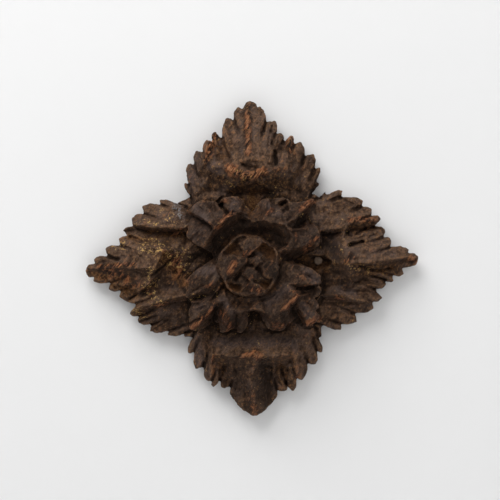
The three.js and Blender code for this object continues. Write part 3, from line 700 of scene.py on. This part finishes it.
hollow = loft("nail_hollow", rounded_hollow())
saw = loft("saw", [level_ring(SQUARE * SAW_REACH, height) for height in (-SAW_DEPTH, 0)])
for tool in (hollow, saw):
    shell_faces_outward(tool)
    carve(boss, tool, "DIFFERENCE")


# The wear, the finish of the timber and some painted shade and sheen are laid out by strokes too. A stroke is
# its start, its end and its half width, in pixels, and its strength.

GRAIN_SLOPE = math.radians(55)       # the fibres rise to the right across the whole face
STROKE_SPREAD = 1.4                  # how much wider than its half width a stroke of wear or colour fades out
FLOWER_BLEND = 3                     # how far the flower's stain runs past its outline, in and out
STREAKS = [(0.6, (5, 60, 40), 8), (0.4, (2.6, 30, 40), 9)]     # share, size across, along and deep, seed

# How far each kind of wear moves the skin, what share of it the leaves get where that isn't all, and the
# values between which it sets in: of noise, of how far an edge stands out, and of the depth over the back.

MOVES = dict(fibre=1.3, coarse=1.0, wave=1.2, lumps=1.2, crust=0.9, pits=0.8, gouge=1.9, chips=2.2,
             scored=2.0, wrinkles=1.2)
ON_LEAVES = dict(fibre=0.55, wrinkles=0.5)
SETS_IN = dict(pits=(0.68, 0.86), chips=(0.55, 0.8), edges=(0.3, 1.2), wear=(0.5, 6))
EDGE_SMOOTHING = 10
WRINKLE_WIDTH = 0.12

RUBBED = [                            # bare timber, rubbed smooth
    (247, 107, 248, 152, 4.4, 1.1), (230, 169, 246, 177.5, 6, 1.3), (246, 177.5, 264, 172, 5.6, 1.3),
    (215, 134, 206, 162, 5.5, 1.1), (291, 135, 289, 149, 5.5, 1.2), (272, 170, 286, 169, 2, 0.4),
    (225, 118, 217, 130, 2, 0.4), (98, 266.5, 134, 264.5, 4, 1), (120, 273, 131, 281, 5, 0.8),
    (108, 272, 122, 275, 5, 0.8), (166, 250, 184, 276, 12, 0.45), (174, 257, 179, 270, 8, 1),
    (104, 275, 138, 284, 8, 0.6), (140, 287, 152, 296, 5, 0.5), (157, 305, 168, 303, 4, 1),
    (174, 236, 182, 230, 3.6, 1), (86, 268, 90, 269, 5, 0.6), (116, 244, 106, 240, 3, 0.4),
    (349, 220, 382, 219, 4, 1), (351, 255, 346, 261, 4.5, 1), (337, 297, 343, 298, 4, 1),
    (413, 259, 419, 258, 6, 1), (255, 352, 261, 357, 5, 1), (240, 355, 252, 352.5, 3.4, 0.9),
    (213, 356, 213, 372, 2.6, 0.7), (297, 366, 297, 378, 2.5, 0.6), (252, 400, 256, 413, 5, 0.6),
    (250, 386, 253, 396, 2.4, 0.5), (216, 227, 232, 214, 4.6, 1), (226, 202, 222, 201, 3, 0.6),
    (189, 209, 190, 215, 2.5, 0.6), (301, 210, 312, 202, 4.2, 1), (267, 213, 272, 210, 3.4, 1),
    (294, 231, 296, 240, 2.4, 0.6), (305, 249, 316, 238, 4, 1), (297, 295, 284, 308, 3.4, 1),
    (306, 323.5, 318, 318, 4.2, 1), (276, 324, 285, 325, 5, 1), (217, 304, 194, 327, 3.4, 1),
    (222, 312, 230, 326, 6, 0.8), (249, 250, 245, 255, 4, 1), (230, 271, 234, 262, 4.2, 1),
    (249, 276, 253, 276, 3, 0.6), (249, 286, 260, 290, 4.2, 1), (207, 287, 211, 284, 2.5, 0.7),
    (303, 287, 292, 291, 2, 0.6),
]
GILT = [                              # where flecks of old gilding are left
    (148, 247, 172, 258, 15, 0.9), (150, 272, 158, 300, 12, 0.7), (145, 222, 180, 225, 8, 0.6),
    (112, 244, 122, 246, 6, 0.9), (128, 306, 140, 312, 9, 0.9), (184, 252, 188, 272, 9, 0.8),
    (150, 205, 176, 218, 9, 0.4), (216, 180, 284, 190, 10, 0.35), (248, 200, 255, 210, 6, 0.5),
    (190, 296, 214, 292, 6, 0.6), (345, 226, 345, 250, 6, 0.4), (352, 266, 368, 272, 7, 0.5),
    (250, 318, 256, 326, 5, 0.5), (258, 343, 256, 345, 3, 0.8), (300, 214, 312, 224, 6, 0.4),
]
BLUE_SPOT = [                         # a blue-grey fleck
    (176, 205, 181, 216, 7.5, 1),
]
OCHRE = [                             # hollows where the old varnish has run together, yellow-brown
    (94, 274, 128, 290, 8, 0.8), (164, 256, 182, 280, 10, 0.9), (112, 236, 150, 240, 5, 0.7),
    (124, 306, 140, 312, 7, 0.7), (132, 296, 156, 284, 5, 0.6), (206, 138, 206, 160, 6, 0.5),
    (228, 245, 235, 252, 8, 0.9), (262, 246, 270, 254, 9, 1), (226, 285, 238, 290, 8, 0.8),
    (262, 283, 273, 287, 7, 0.8), (305, 262, 325, 267, 10, 1), (252, 196, 252, 212, 12, 0.8),
    (215, 182, 285, 184, 12, 0.5), (216, 140, 224, 156, 8, 0.5), (150, 234, 182, 238, 8, 0.6),
    (354, 268, 400, 272, 9, 0.7), (355, 228, 376, 232, 8, 0.5), (218, 364, 226, 378, 10, 0.5),
    (276, 362, 288, 376, 10, 0.5), (236, 300, 262, 306, 8, 0.4), (232, 236, 268, 236, 5, 0.6),
]
BLOOM_AND_SHEEN = [                             # where the varnish has gone a violet grey, and a painted sheen on plates that face up
    (216, 341, 292, 341, 7, 1), (236, 342, 272, 340, 5, 1), (330, 234, 336, 256, 8, 0.7),
    (334, 288, 354, 293, 5, 0.8), (366, 250, 394, 255, 5, 0.6), (196, 270, 212, 270, 7, 0.8),
    (305, 268, 316, 280, 7, 0.9), (268, 302, 286, 288, 8, 0.7), (302, 304, 312, 318, 6, 0.8),
    (195, 205, 205, 220, 7, 0.7), (236, 202, 232, 212, 6, 0.7), (262, 204, 280, 214, 7, 0.6),
    (196, 236, 204, 228, 7, 0.4), (208, 164, 220, 172, 6, 0.9), (236, 128, 242, 152, 7, 0.5),
    (276, 158, 288, 176, 6, 0.5), (191, 162, 191, 190, 7, 0.9), (196, 338, 200, 364, 7, 0.9),
    (224, 300, 232, 312, 6, 0.7), (198, 308, 206, 304, 6, 0.5),
]
SHADE_AND_GRIME = [                             # where shade is painted darkest, with some grime
    (270, 370, 266, 398, 8, 0.9), (224, 374, 236, 392, 8, 0.5), (268, 264, 276, 276, 7, 0.9),
    (248, 272, 256, 278, 6, 0.5), (118, 216, 150, 212, 8, 0.35), (130, 299, 154, 284, 3, 0.6),
    (153, 276, 172, 260, 3, 0.6), (264, 365, 266, 400, 12, 1.2), (240, 368, 243, 395, 12, 0.55),
    (218, 364, 224, 378, 7, 0.25), (276, 364, 288, 376, 9, 0.5), (326, 276, 322, 290, 9, 0.7),
    (330, 240, 328, 258, 10, 0.35), (335, 268, 345, 285, 8, 0.8), (352, 268, 395, 270, 6, 0.7),
    (216, 184, 286, 186, 8, 0.3), (326, 238, 337, 256, 9, 1), (293, 188, 312, 192, 8, 0.5),
    (158, 280, 176, 282, 7, 0.5), (205, 336, 298, 336, 8, 0.35), (214, 250, 219, 238, 7, 1),
    (226, 233, 246, 222, 8, 1), (256, 226, 284, 240, 9, 0.8), (240, 226, 262, 230, 7, 0.9),
    (300, 252, 286, 255, 5, 0.7), (303, 213, 296, 224, 6, 0.7), (291, 306, 297, 325, 6, 0.15),
    (216, 308, 211, 325, 5, 0.8), (236, 318, 242, 328, 6, 0.8), (254, 313, 254, 322, 5, 0.9),
    (196, 298, 216, 294, 4, 0.8), (190, 256, 214, 254, 5, 0.8), (280, 305, 284, 318, 5, 0.5),
    (228, 276, 240, 282, 4, 0.6), (140, 318, 180, 322, 8, 0.4), (270, 312, 262, 318, 6, 0.6),
    (264, 274, 278, 268, 7, 0.4),
]
PAINTED = dict(rubbed=RUBBED, gilt=GILT, blue=BLUE_SPOT, ochre=OCHRE, shade_and_grime=SHADE_AND_GRIME, bloom=BLOOM_AND_SHEEN)
RELIEF = dict(step=2.0, near=3, far=7)               # a coarse relief's cell, and two reaches in cells
SUNKEN = dict(near=34, far=44)                       # the depth that counts as fully sunken at each reach
PROUD = dict(smoothing=14, spread=2, full=1.2)       # rounds of smoothing, and how proud is fully worn


def mesh_arrays(mesh):
    edges = read(mesh.edges, "vertices", 2, int)
    return read(mesh.vertices, "co", 3) / MM, read(mesh.vertices, "normal", 3), edges


def relaxed(values, edges, times):
    """Each vertex's value moves half-way to the mean of its neighbours' values, again and again."""
    values = values.reshape(len(values), -1)
    count = np.maximum(np.bincount(edges.ravel(), minlength=len(values)), 1)[:, None]
    for _ in range(times):
        total = np.stack([np.bincount(edges[:, 0], v[edges[:, 1]], len(v)) +
                          np.bincount(edges[:, 1], v[edges[:, 0]], len(v)) for v in values.T], axis=1)
        values = 0.5 * values + 0.5 * total / count
    return values


def standing_proud(points, normals, edges, times):
    """How far each vertex stands out of the skin smoothed round it."""
    return np.einsum("ij,ij->i", points - relaxed(points, edges, times), normals)


def touched(points, strokes):
    """The strongest of the strokes at each place."""
    value = np.zeros(len(points))
    for share, strength in drawn(points[:, 0], points[:, 2], strokes, STROKE_SPREAD):
        value = np.maximum(value, strength * share)
    return value


def streaks(points):
    """Long uneven streaks from 0 to 1 that run out along each leaf, as the gouge did."""
    x, y, z = points.T
    upright = np.abs(z - HEART[1]) > np.abs(x - HEART[0])
    places = np.column_stack([np.where(upright, x, z), np.where(upright, z, x), y])
    return sum(share * noise(places, size, seed) for share, size, seed in STREAKS)


def weathered(mesh):
    """Moves the skin: a slow unevenness, lumps and pits, ridges of fibre along the grain, the gouge's streaks
    on the leaves, and small chips where an edge stands out. Nothing moves at the sawn back."""
    points, normals, edges = mesh_arrays(mesh)
    x, y, z = points.T
    along = x * math.cos(GRAIN_SLOPE) + z * math.sin(GRAIN_SLOPE)
    across = -x * math.sin(GRAIN_SLOPE) + z * math.cos(GRAIN_SLOPE)
    grain = np.column_stack([across, along, y])
    fibre = noise(grain, size=(3.2, 34, 9), seed=3) - 0.5
    coarse = noise(grain, size=(7, 50, 14), seed=4) - 0.5
    fold = noise(grain, size=(8, 26, 13), seed=12)
    scored = (noise(grain, size=(2.3, 40, 14), seed=13) - 0.5) * touched(points, RUBBED)
    wave = noise(points, size=23, seed=5) - 0.5
    lumps = noise(points, size=9, seed=6) - 0.5
    crust = noise(points, size=4.2, seed=10) - 0.5
    pits = ease(*SETS_IN["pits"], noise(points, size=4.6, seed=11))
    proud = standing_proud(points, normals, edges, EDGE_SMOOTHING)
    chips = ease(*SETS_IN["chips"], noise(points, size=6, seed=7)) * ease(*SETS_IN["edges"], proud)
    outside = ~within(x, z, flower_loop)
    gouge = (streaks(points) - 0.5) * outside
    wrinkles = np.clip(1 - np.abs(fold - 0.5) / WRINKLE_WIDTH, 0, 1)
    wrinkles = wrinkles * np.where(outside, ON_LEAVES["wrinkles"], 1)
    move = (MOVES["fibre"] * fibre + MOVES["coarse"] * coarse) * np.where(outside, ON_LEAVES["fibre"], 1)
    move += MOVES["wave"] * wave + MOVES["lumps"] * lumps + MOVES["crust"] * crust - MOVES["pits"] * pits
    move += MOVES["gouge"] * gouge - MOVES["chips"] * chips + MOVES["scored"] * scored
    move -= MOVES["wrinkles"] * wrinkles
    points += normals * (move * ease(*SETS_IN["wear"], -y))[:, None]
    mesh.vertices.foreach_set("co", (points * MM).ravel())
    mesh.update()


def blurred(grid, radius):
    """The mean over a square window, from running totals down and then across."""
    width = 2 * radius + 1
    for axis in (0, 1):
        margins = [(radius + 1, radius) if side == axis else (0, 0) for side in (0, 1)]
        total = np.cumsum(np.pad(grid, margins, mode="edge"), axis=axis)
        high = np.take(total, np.arange(width, total.shape[axis]), axis=axis)
        low = np.take(total, np.arange(total.shape[axis] - width), axis=axis)
        grid = (high - low) / width
    return grid


def wear_and_depth(mesh):
    """How worn and how sunken each vertex is: worn where it stands proud of its smoothed surroundings, sunken
    where the face is lower than the mean relief around it. The finish paints shade into what is sunken."""
    points, normals, edges = mesh_arrays(mesh)
    proud = relaxed(standing_proud(points, normals, edges, PROUD["smoothing"]), edges, PROUD["spread"])[:, 0]
    cells = tuple(((points[:, [0, 2]] + HALF_SPAN) / RELIEF["step"]).astype(int).T)
    size = int(2 * HALF_SPAN / RELIEF["step"]) + 2
    relief = np.zeros((size, size))
    np.maximum.at(relief, cells, -points[:, 1])
    near, far = (blurred(relief, RELIEF[reach])[cells] + points[:, 1] for reach in ("near", "far"))
    sunken = near / SUNKEN["near"] + far / SUNKEN["far"]
    return np.clip(proud / PROUD["full"], -1, 1), np.clip(sunken, -1, 1)


def keep_values(mesh, name, values):
    mesh.attributes.new(name, "FLOAT", "POINT").data.foreach_set("value", values.astype(np.float32))


weathered(boss.data)
thinned = boss.modifiers.new("thinned", "DECIMATE")
thinned.ratio = MOST_TRIANGLES / len(boss.data.polygons) / 2
finished(boss)

skin_points = mesh_arrays(boss.data)[0]
for name, values in zip(("worn", "sunken"), wear_and_depth(boss.data)):
    keep_values(boss.data, name, values)
for name, strokes in PAINTED.items():
    keep_values(boss.data, name, touched(skin_points, strokes))
to_edge = edge_distance(skin_points[:, 0], skin_points[:, 2], flower_loop)
in_flower = within(skin_points[:, 0], skin_points[:, 2], flower_loop)
flower_share = ease(-FLOWER_BLEND, FLOWER_BLEND, np.where(in_flower, to_edge, -to_edge))
keep_values(boss.data, "flower", flower_share)
keep_values(boss.data, "streak", streaks(skin_points))
boss.data.shade_smooth()


class Tone:
    """A value in a material that can be written into sums. An operator on tones adds the Math node for it."""

    def __init__(self, tree, socket=None):
        self.tree, self.socket = tree, socket

    def plug(self, node, inputs):
        """A node's sockets get values, or links from tones."""
        for name, value in inputs.items():
            if isinstance(value, Tone):
                self.tree.links.new(value.socket, node.inputs[name])
            else:
                node.inputs[name].default_value = value

    def node(self, kind, settings, inputs, output=0):
        """Any node: its settings are set first, then its sockets get values or links."""
        node = self.tree.nodes.new(kind)
        for name, setting in settings.items():
            setattr(node, name, setting)
        self.plug(node, inputs)
        return Tone(self.tree, node.outputs[output])

    def sum(self, operation, *values):
        return self.node("ShaderNodeMath", {"operation": operation}, dict(enumerate(values)))

    def __add__(self, other):
        return self.sum("ADD", self, other)

    def __sub__(self, other):
        return self.sum("SUBTRACT", self, other)

    def __rsub__(self, other):
        return self.sum("SUBTRACT", other, self)

    def __mul__(self, other):
        return self.sum("MULTIPLY", self, other)

    __radd__, __rmul__ = __add__, __mul__

    def between(self, low, high):
        """0 at low and 1 at high, whichever of them is the greater."""
        return self.node("ShaderNodeMapRange", {"interpolation_type": "SMOOTHSTEP"},
                         {"Value": self, "From Min": low, "From Max": high})

    def colour(self, share, first, second):
        return self.node("ShaderNodeMix", {"data_type": "RGBA"}, {0: share, 6: first, 7: second}, 2)

    def attribute(self, name):
        return self.node("ShaderNodeAttribute", {"attribute_name": name}, {}, "Fac")

    def place(self):
        return self.node("ShaderNodeTexCoord", {}, {}, "Object")

    def normal(self, axis):
        face = self.node("ShaderNodeNewGeometry", {}, {}, "Normal")
        return self.node("ShaderNodeSeparateXYZ", {}, {0: face}, axis)

    def speckle(self, vector, scale, detail=3.0, rough=0.6):
        return self.node("ShaderNodeTexNoise", {}, {"Vector": vector, "Scale": scale, "Detail": detail,
                                                    "Roughness": rough})

    def bump(self, height, strength, distance):
        return self.node("ShaderNodeBump", {}, {"Strength": strength, "Distance": distance, "Height": height})


def new_finish(name):
    """A new material, the tone that makes its nodes, and its shader."""
    material = bpy.data.materials.new(name)
    material.use_nodes = True
    return material, Tone(material.node_tree), material.node_tree.nodes["Principled BSDF"]


def linear(red, green, blue):
    """A colour as it looks, from 0 to 255, as the shader's linear values."""
    value = np.array([red, green, blue]) / 255
    value = np.where(value <= 0.04045, value / 12.92, ((value + 0.055) / 1.055) ** 2.4)
    return (*value.tolist(), 1.0)


# Some of these colours are painted light: the dark brown for what faces down, the brown for steep sides and
# the near-black for hollows are painted shade, and the pale dust and the violet grey are partly a painted
# sheen.
STAIN_AND_SHADE = dict(timber=linear(64, 44, 30), pale=linear(112, 86, 68), grey=linear(92, 77, 71),
             dust=linear(114, 90, 72), shade_and_soot=linear(27, 16, 8), under=linear(37, 23, 13),
             inner=linear(49, 33, 23), inner_pale=linear(83, 65, 53), rubbed=linear(90, 50, 29),
             raw=linear(154, 97, 62), ochre=linear(86, 54, 27), straw=linear(146, 104, 62),
             wall=linear(62, 38, 21), bloom=linear(94, 79, 74), fresh=linear(196, 140, 98),
             gilt=linear(208, 168, 102), blue=linear(124, 127, 130))


def timber_finish(name):
    """Dark stain on the leaves and a darker one on the flower, then one coat over another: what has settled
    on the timber, with a painted sheen on what faces up, painted shade on what faces down and on the steep
    sides, what is rubbed bare, painted shade and soot in its hollows, soot in its pores, and flecks of straw
    and gilding."""
    material, brush, shader = new_finish(name)
    place = brush.place()
    along = brush.node("ShaderNodeMapping", {"vector_type": "TEXTURE"},
                       {"Vector": place, "Rotation": (0, -GRAIN_SLOPE, 0), "Scale": (14, 1.5, 1)})
    upward, facing = brush.normal("Z"), brush.normal("Y") * -1
    worn, sunken, flower, streak = map(brush.attribute, ("worn", "sunken", "flower", "streak"))
    rubbed, gilt, blue, ochre, shade_and_grime, bloom = map(brush.attribute, PAINTED)

    cloud = brush.speckle(place, 18)
    patch = brush.speckle(place, 70, 4.0)
    grit = brush.speckle(place, 190, 4.0, 0.7)
    fine = brush.speckle(place, 460, 4.0, 0.7)
    fibre = brush.speckle(along, 420, 4.0, 0.65)
    stripes = brush.speckle(along, 200)
    line, grain = stripes.between(0.42, 0.58), fibre.between(0.42, 0.58)
    speck, dot = grit.between(0.4, 0.6), fine.between(0.4, 0.6)
    mottle = patch * 0.6 + grit * 0.7

    greyed = (cloud + patch * 0.6 + grit * 0.3).between(0.92, 1.06)
    # dust on what faces up and is not sunken, with a painted sheen there: the tops are paler
    dust_and_sheen = (upward * 0.6 + cloud * 0.8 + grit * 0.7).between(0.8, 1.4) * sunken.between(0.3, -0.1)
    # painted shade: faces that turn away from the front get a darker, warmer brown
    steep_side_shade = (facing.between(0.86, 0.4) + speck * 0.5 - 0.25).between(0.0, 1.0)
    # partly painted sheen: violet grey on plates that face the lamp, with the varnish's bloom
    bloom_and_sheen_coat = (bloom + patch * 0.8 - 0.5).between(0.0, 0.9)
    syrup = (ochre + sunken * 0.5 + speck * 0.4 - 0.3).between(0.1, 0.8)
    rub = (rubbed * 1.1 + worn * 0.4 + line * 0.35 + speck * 0.35 - 0.7).between(0.0, 0.8)
    raw = (rubbed * 0.7 + worn * 0.2 + line * 0.75 + grain * 0.5 + speck * 0.35 - 1.3).between(0.0, 0.7)
    fresh = (rubbed + line * 0.4 + grain * 0.4 - 1.5).between(0.0, 0.5)
    clear = worn * 0.4 + rubbed * 0.4 + ochre * 0.5
    # painted shade: sunken places and the darkest strokes go near-black, the shade of the hollows with some
    # soot
    hollow_shade_and_soot = (sunken + patch * 0.6 + shade_and_grime * 0.35 - 0.42 - clear).between(0.0, 0.5)
    # painted shade: these strokes darken valleys, the cup and faces turned from the lamp, with some grime
    shade_and_grime_coat = (shade_and_grime + patch * 0.6 - 0.3).between(0.0, 1.0)
    glint = (dot * 0.7 + speck * 0.5 + ochre * 0.35 + worn * 0.2 - shade_and_grime * 0.1).between(0.92, 1.16)
    fleck = (gilt * 0.5 + dot * 0.55 + speck * 0.55 + patch * 1.6 - 0.8).between(1.26, 1.38)
    chip = (blue * 0.7 + dot * 0.6 + speck * 0.3).between(1.1, 1.35)

    outer = brush.colour((mottle + streak * 0.3).between(0.64, 0.92), STAIN_AND_SHADE["timber"], STAIN_AND_SHADE["pale"])
    inner = brush.colour(mottle.between(0.52, 0.8), STAIN_AND_SHADE["inner"], STAIN_AND_SHADE["inner_pale"])
    stain_and_shade = brush.colour(flower, outer, inner)
    coats = [
        (greyed * (0.55 - flower * 0.35), "grey"),
        (dust_and_sheen * (0.55 - flower * 0.5), "dust"),
        # painted shade: what faces down takes the dark underside brown
        (upward.between(0.05, -0.45) * 0.5, "under"),
        (steep_side_shade * (0.45 + flower * 0.25), "wall"),
        (bloom_and_sheen_coat * 0.7, "bloom"),
        (syrup * 0.7, "ochre"),
        (rub * 0.8, "rubbed"),
        (raw * (0.85 - flower * 0.3), "raw"),
        (fresh * 0.7, "fresh"),
        (worn.between(0.3, 1.0) * (0.5 - flower * 0.35), "dust"),
        (hollow_shade_and_soot * 0.8, "shade_and_soot"),
        (shade_and_grime_coat * 0.65, "shade_and_soot"),
        (stripes.between(0.51, 0.44) * (0.2 + rubbed * 0.7), "shade_and_soot"),
        (fibre.between(0.49, 0.38) * 0.4, "shade_and_soot"),
        (grit.between(0.45, 0.36) * 0.3, "shade_and_soot"),
        (fine.between(0.45, 0.38) * 0.35, "shade_and_soot"),
        (glint * (0.45 - flower * 0.25), "straw"),
        (fleck * 0.85, "gilt"),
        (chip * 0.8, "blue"),
    ]
    for share, colour in coats:
        stain_and_shade = brush.colour(share, stain_and_shade, STAIN_AND_SHADE[colour])

    height = fibre * 0.7 + fine * 0.8 + grit * 1.1 + patch * 0.5 + stripes * 0.4 + line * rubbed * 0.35
    brush.plug(shader, {"Base Color": stain_and_shade, "Roughness": 0.6 + hollow_shade_and_soot * 0.2 + fine * 0.2 - rub * 0.08,
                        "Specular IOR Level": 0.16, "Normal": brush.bump(height, 1.0, 0.003)})
    return material


boss.data.materials.clear()
boss.data.materials.append(timber_finish("stained_oak_painted_shade"))
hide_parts("boss")
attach(boss, "root")


# The nail
#
# A forged iron nail holds the block through the hollow at the right of the flower. Its round head is low and
# flat, hammered a little uneven, and its shank runs into the timber.

NAIL = dict(x=95, z=2, seat=34, head=6.1, thick=3, shank=2.5, depth=26, point=4)
HEAD_CROWN = [(0.3, 0.25), (2.2, 0.2), (4.4, 0), (5.4, -0.4), (NAIL["head"], -1.3), (NAIL["head"], -2.2)]
HEAD_BELOW = [(5.6, 0.1), (5.2, 0), (NAIL["shank"], 0)]
DENTS = [(0.03, 3, 1), (0.02, 7, 0)]                 # share of the radius, dents round the nail, shift


def nail_rings():
    """Rings along the nail from the crown of its head to the shank's end. Hammering dents them a little."""
    turn = np.linspace(0, 2 * math.pi, RING_SIDES, endpoint=False)
    seat, end = NAIL["seat"], NAIL["seat"] - NAIL["depth"]
    profile = [(radius, seat + NAIL["thick"] + rise) for radius, rise in HEAD_CROWN]
    profile += [(radius, seat + rise) for radius, rise in HEAD_BELOW]
    profile += [(NAIL["shank"], end + NAIL["point"]), (0.5, end)]
    dented = 1 + ripple(turn, DENTS)
    return [level_ring(circle(NAIL["x"], NAIL["z"], turn, radius * dented, radius * dented), height)
            for radius, height in profile]


def iron_finish(name):
    material, brush, shader = new_finish(name)
    pits, bloom = brush.speckle(brush.place(), 900, 4.0, 0.7), brush.speckle(brush.place(), 220)
    colour = brush.colour(bloom.between(0.35, 0.65), linear(116, 97, 80), linear(98, 78, 62))
    brush.plug(shader, {"Base Color": colour, "Roughness": 0.55 + bloom * 0.25, "Metallic": 0.1,
                        "Normal": brush.bump(pits, 0.6, 0.0005)})
    return material


nail = loft("forged_nail", nail_rings())
shell_faces_outward(nail)
nail.data.shade_smooth()
nail.data.materials.append(iron_finish("forged_iron"))
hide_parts("nail")
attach(nail, "root")


# The wall, the floor, the light and the camera
#
# The boss is seen square on against a plain pale wall. The wall has an opening behind the block, and it is
# only there from its front, so that the sawn back can be looked at too.

WALL = dict(gap=0.5, half_width=3200, opening=BACK_SCALE * 0.997)
FLOOR = dict(z=-1400, half_width=6000, front=-7000, back=6000)
PLASTER = (0.8, 0.8, 0.8, 1)
ROOM_LIGHT = 0.52
LAMPS = [                                            # name, place and width in metres, power in watts
    ("window", (-1.0, -1.9, 2.5), 2.8, 90),
    ("fill", (1.8, -2.5, 0.6), 2.0, 8),
    ("behind", (1.6, 2.4, 1.6), 1.6, 60),
]
PICTURE_SIZE = 500
LENS = 250
SENSOR = 36
LEAF_PLANE = 30                                      # the height at which a pixel covers PIXEL millimetres


def wall_sheet():
    """A flat sheet, joined up in triangles, that leaves out those inside the back's outline."""
    opening = mix(HEART, outline, WALL["opening"])
    places = np.vstack([opening, SQUARE * WALL["half_width"]])
    count = len(opening)
    edges = [(i, (i + 1) % count) for i in range(count)]
    found = delaunay_2d_cdt([Vector(place) for place in places], edges, [], 0, 1e-3)
    corners = np.array([tuple(place) for place in found[0]])
    triangles = np.array(found[2])
    middles = corners[triangles].mean(axis=1)
    kept = triangles[~within(middles[:, 0], middles[:, 1], opening)]
    return new_piece("wall", level_ring(corners, -WALL["gap"]), kept.tolist())


def floor_sheet():
    width, front, back = FLOOR["half_width"], FLOOR["front"], FLOOR["back"]
    corners = [(-width, front), (width, front), (width, back), (-width, back)]
    return new_piece("floor", [(x, y, FLOOR["z"]) for x, y in corners], [[0, 1, 2, 3]])


def plaster_finish(name, one_sided):
    material, brush, shader = new_finish(name)
    brush.plug(shader, {"Base Color": PLASTER, "Roughness": 0.9})
    if one_sided:
        behind = brush.node("ShaderNodeNewGeometry", {}, {}, "Backfacing")
        clear = brush.node("ShaderNodeBsdfTransparent", {}, {})
        solid = Tone(material.node_tree, shader.outputs["BSDF"])
        shown = brush.node("ShaderNodeMixShader", {}, {0: behind, 1: solid, 2: clear})
        brush.plug(material.node_tree.nodes["Material Output"], {"Surface": shown})
    return material


def soft_light(name, place, size, power):
    """A round lamp that is turned to the boss."""
    lamp = bpy.data.lights.new(name, "AREA")
    lamp.shape, lamp.size, lamp.energy = "DISK", size, power
    holder = bpy.data.objects.new(name, lamp)
    bpy.context.scene.collection.objects.link(holder)
    holder.location = place
    holder.rotation_euler = (-Vector(place)).to_track_quat("-Z", "Y").to_euler()


wall, ground = wall_sheet(), floor_sheet()
wall.data.materials.append(plaster_finish("pale_plaster", True))
ground.data.materials.append(plaster_finish("pale_floor", False))

world = bpy.data.worlds.new("room")
world.use_nodes = True
world.node_tree.nodes["Background"].inputs["Color"].default_value = (1, 1, 1, 1)
world.node_tree.nodes["Background"].inputs["Strength"].default_value = ROOM_LIGHT
bpy.context.scene.world = world
bpy.context.scene.view_settings.view_transform = "Standard"
for lamp in LAMPS:
    soft_light(*lamp)

camera = bpy.data.objects.new("camera", bpy.data.cameras.new("camera"))
camera.data.lens, camera.data.sensor_width, camera.data.clip_end = LENS, SENSOR, 100
distance = PICTURE_SIZE * PIXEL * LENS / SENSOR
aim_x, aim_z = placed([(PICTURE_SIZE / 2, PICTURE_SIZE / 2)])[0]
camera.location = Vector((aim_x, -distance - LEAF_PLANE, aim_z)) * MM
camera.rotation_euler = (math.pi / 2, 0, 0)
bpy.context.scene.collection.objects.link(camera)
bpy.context.scene.camera = camera
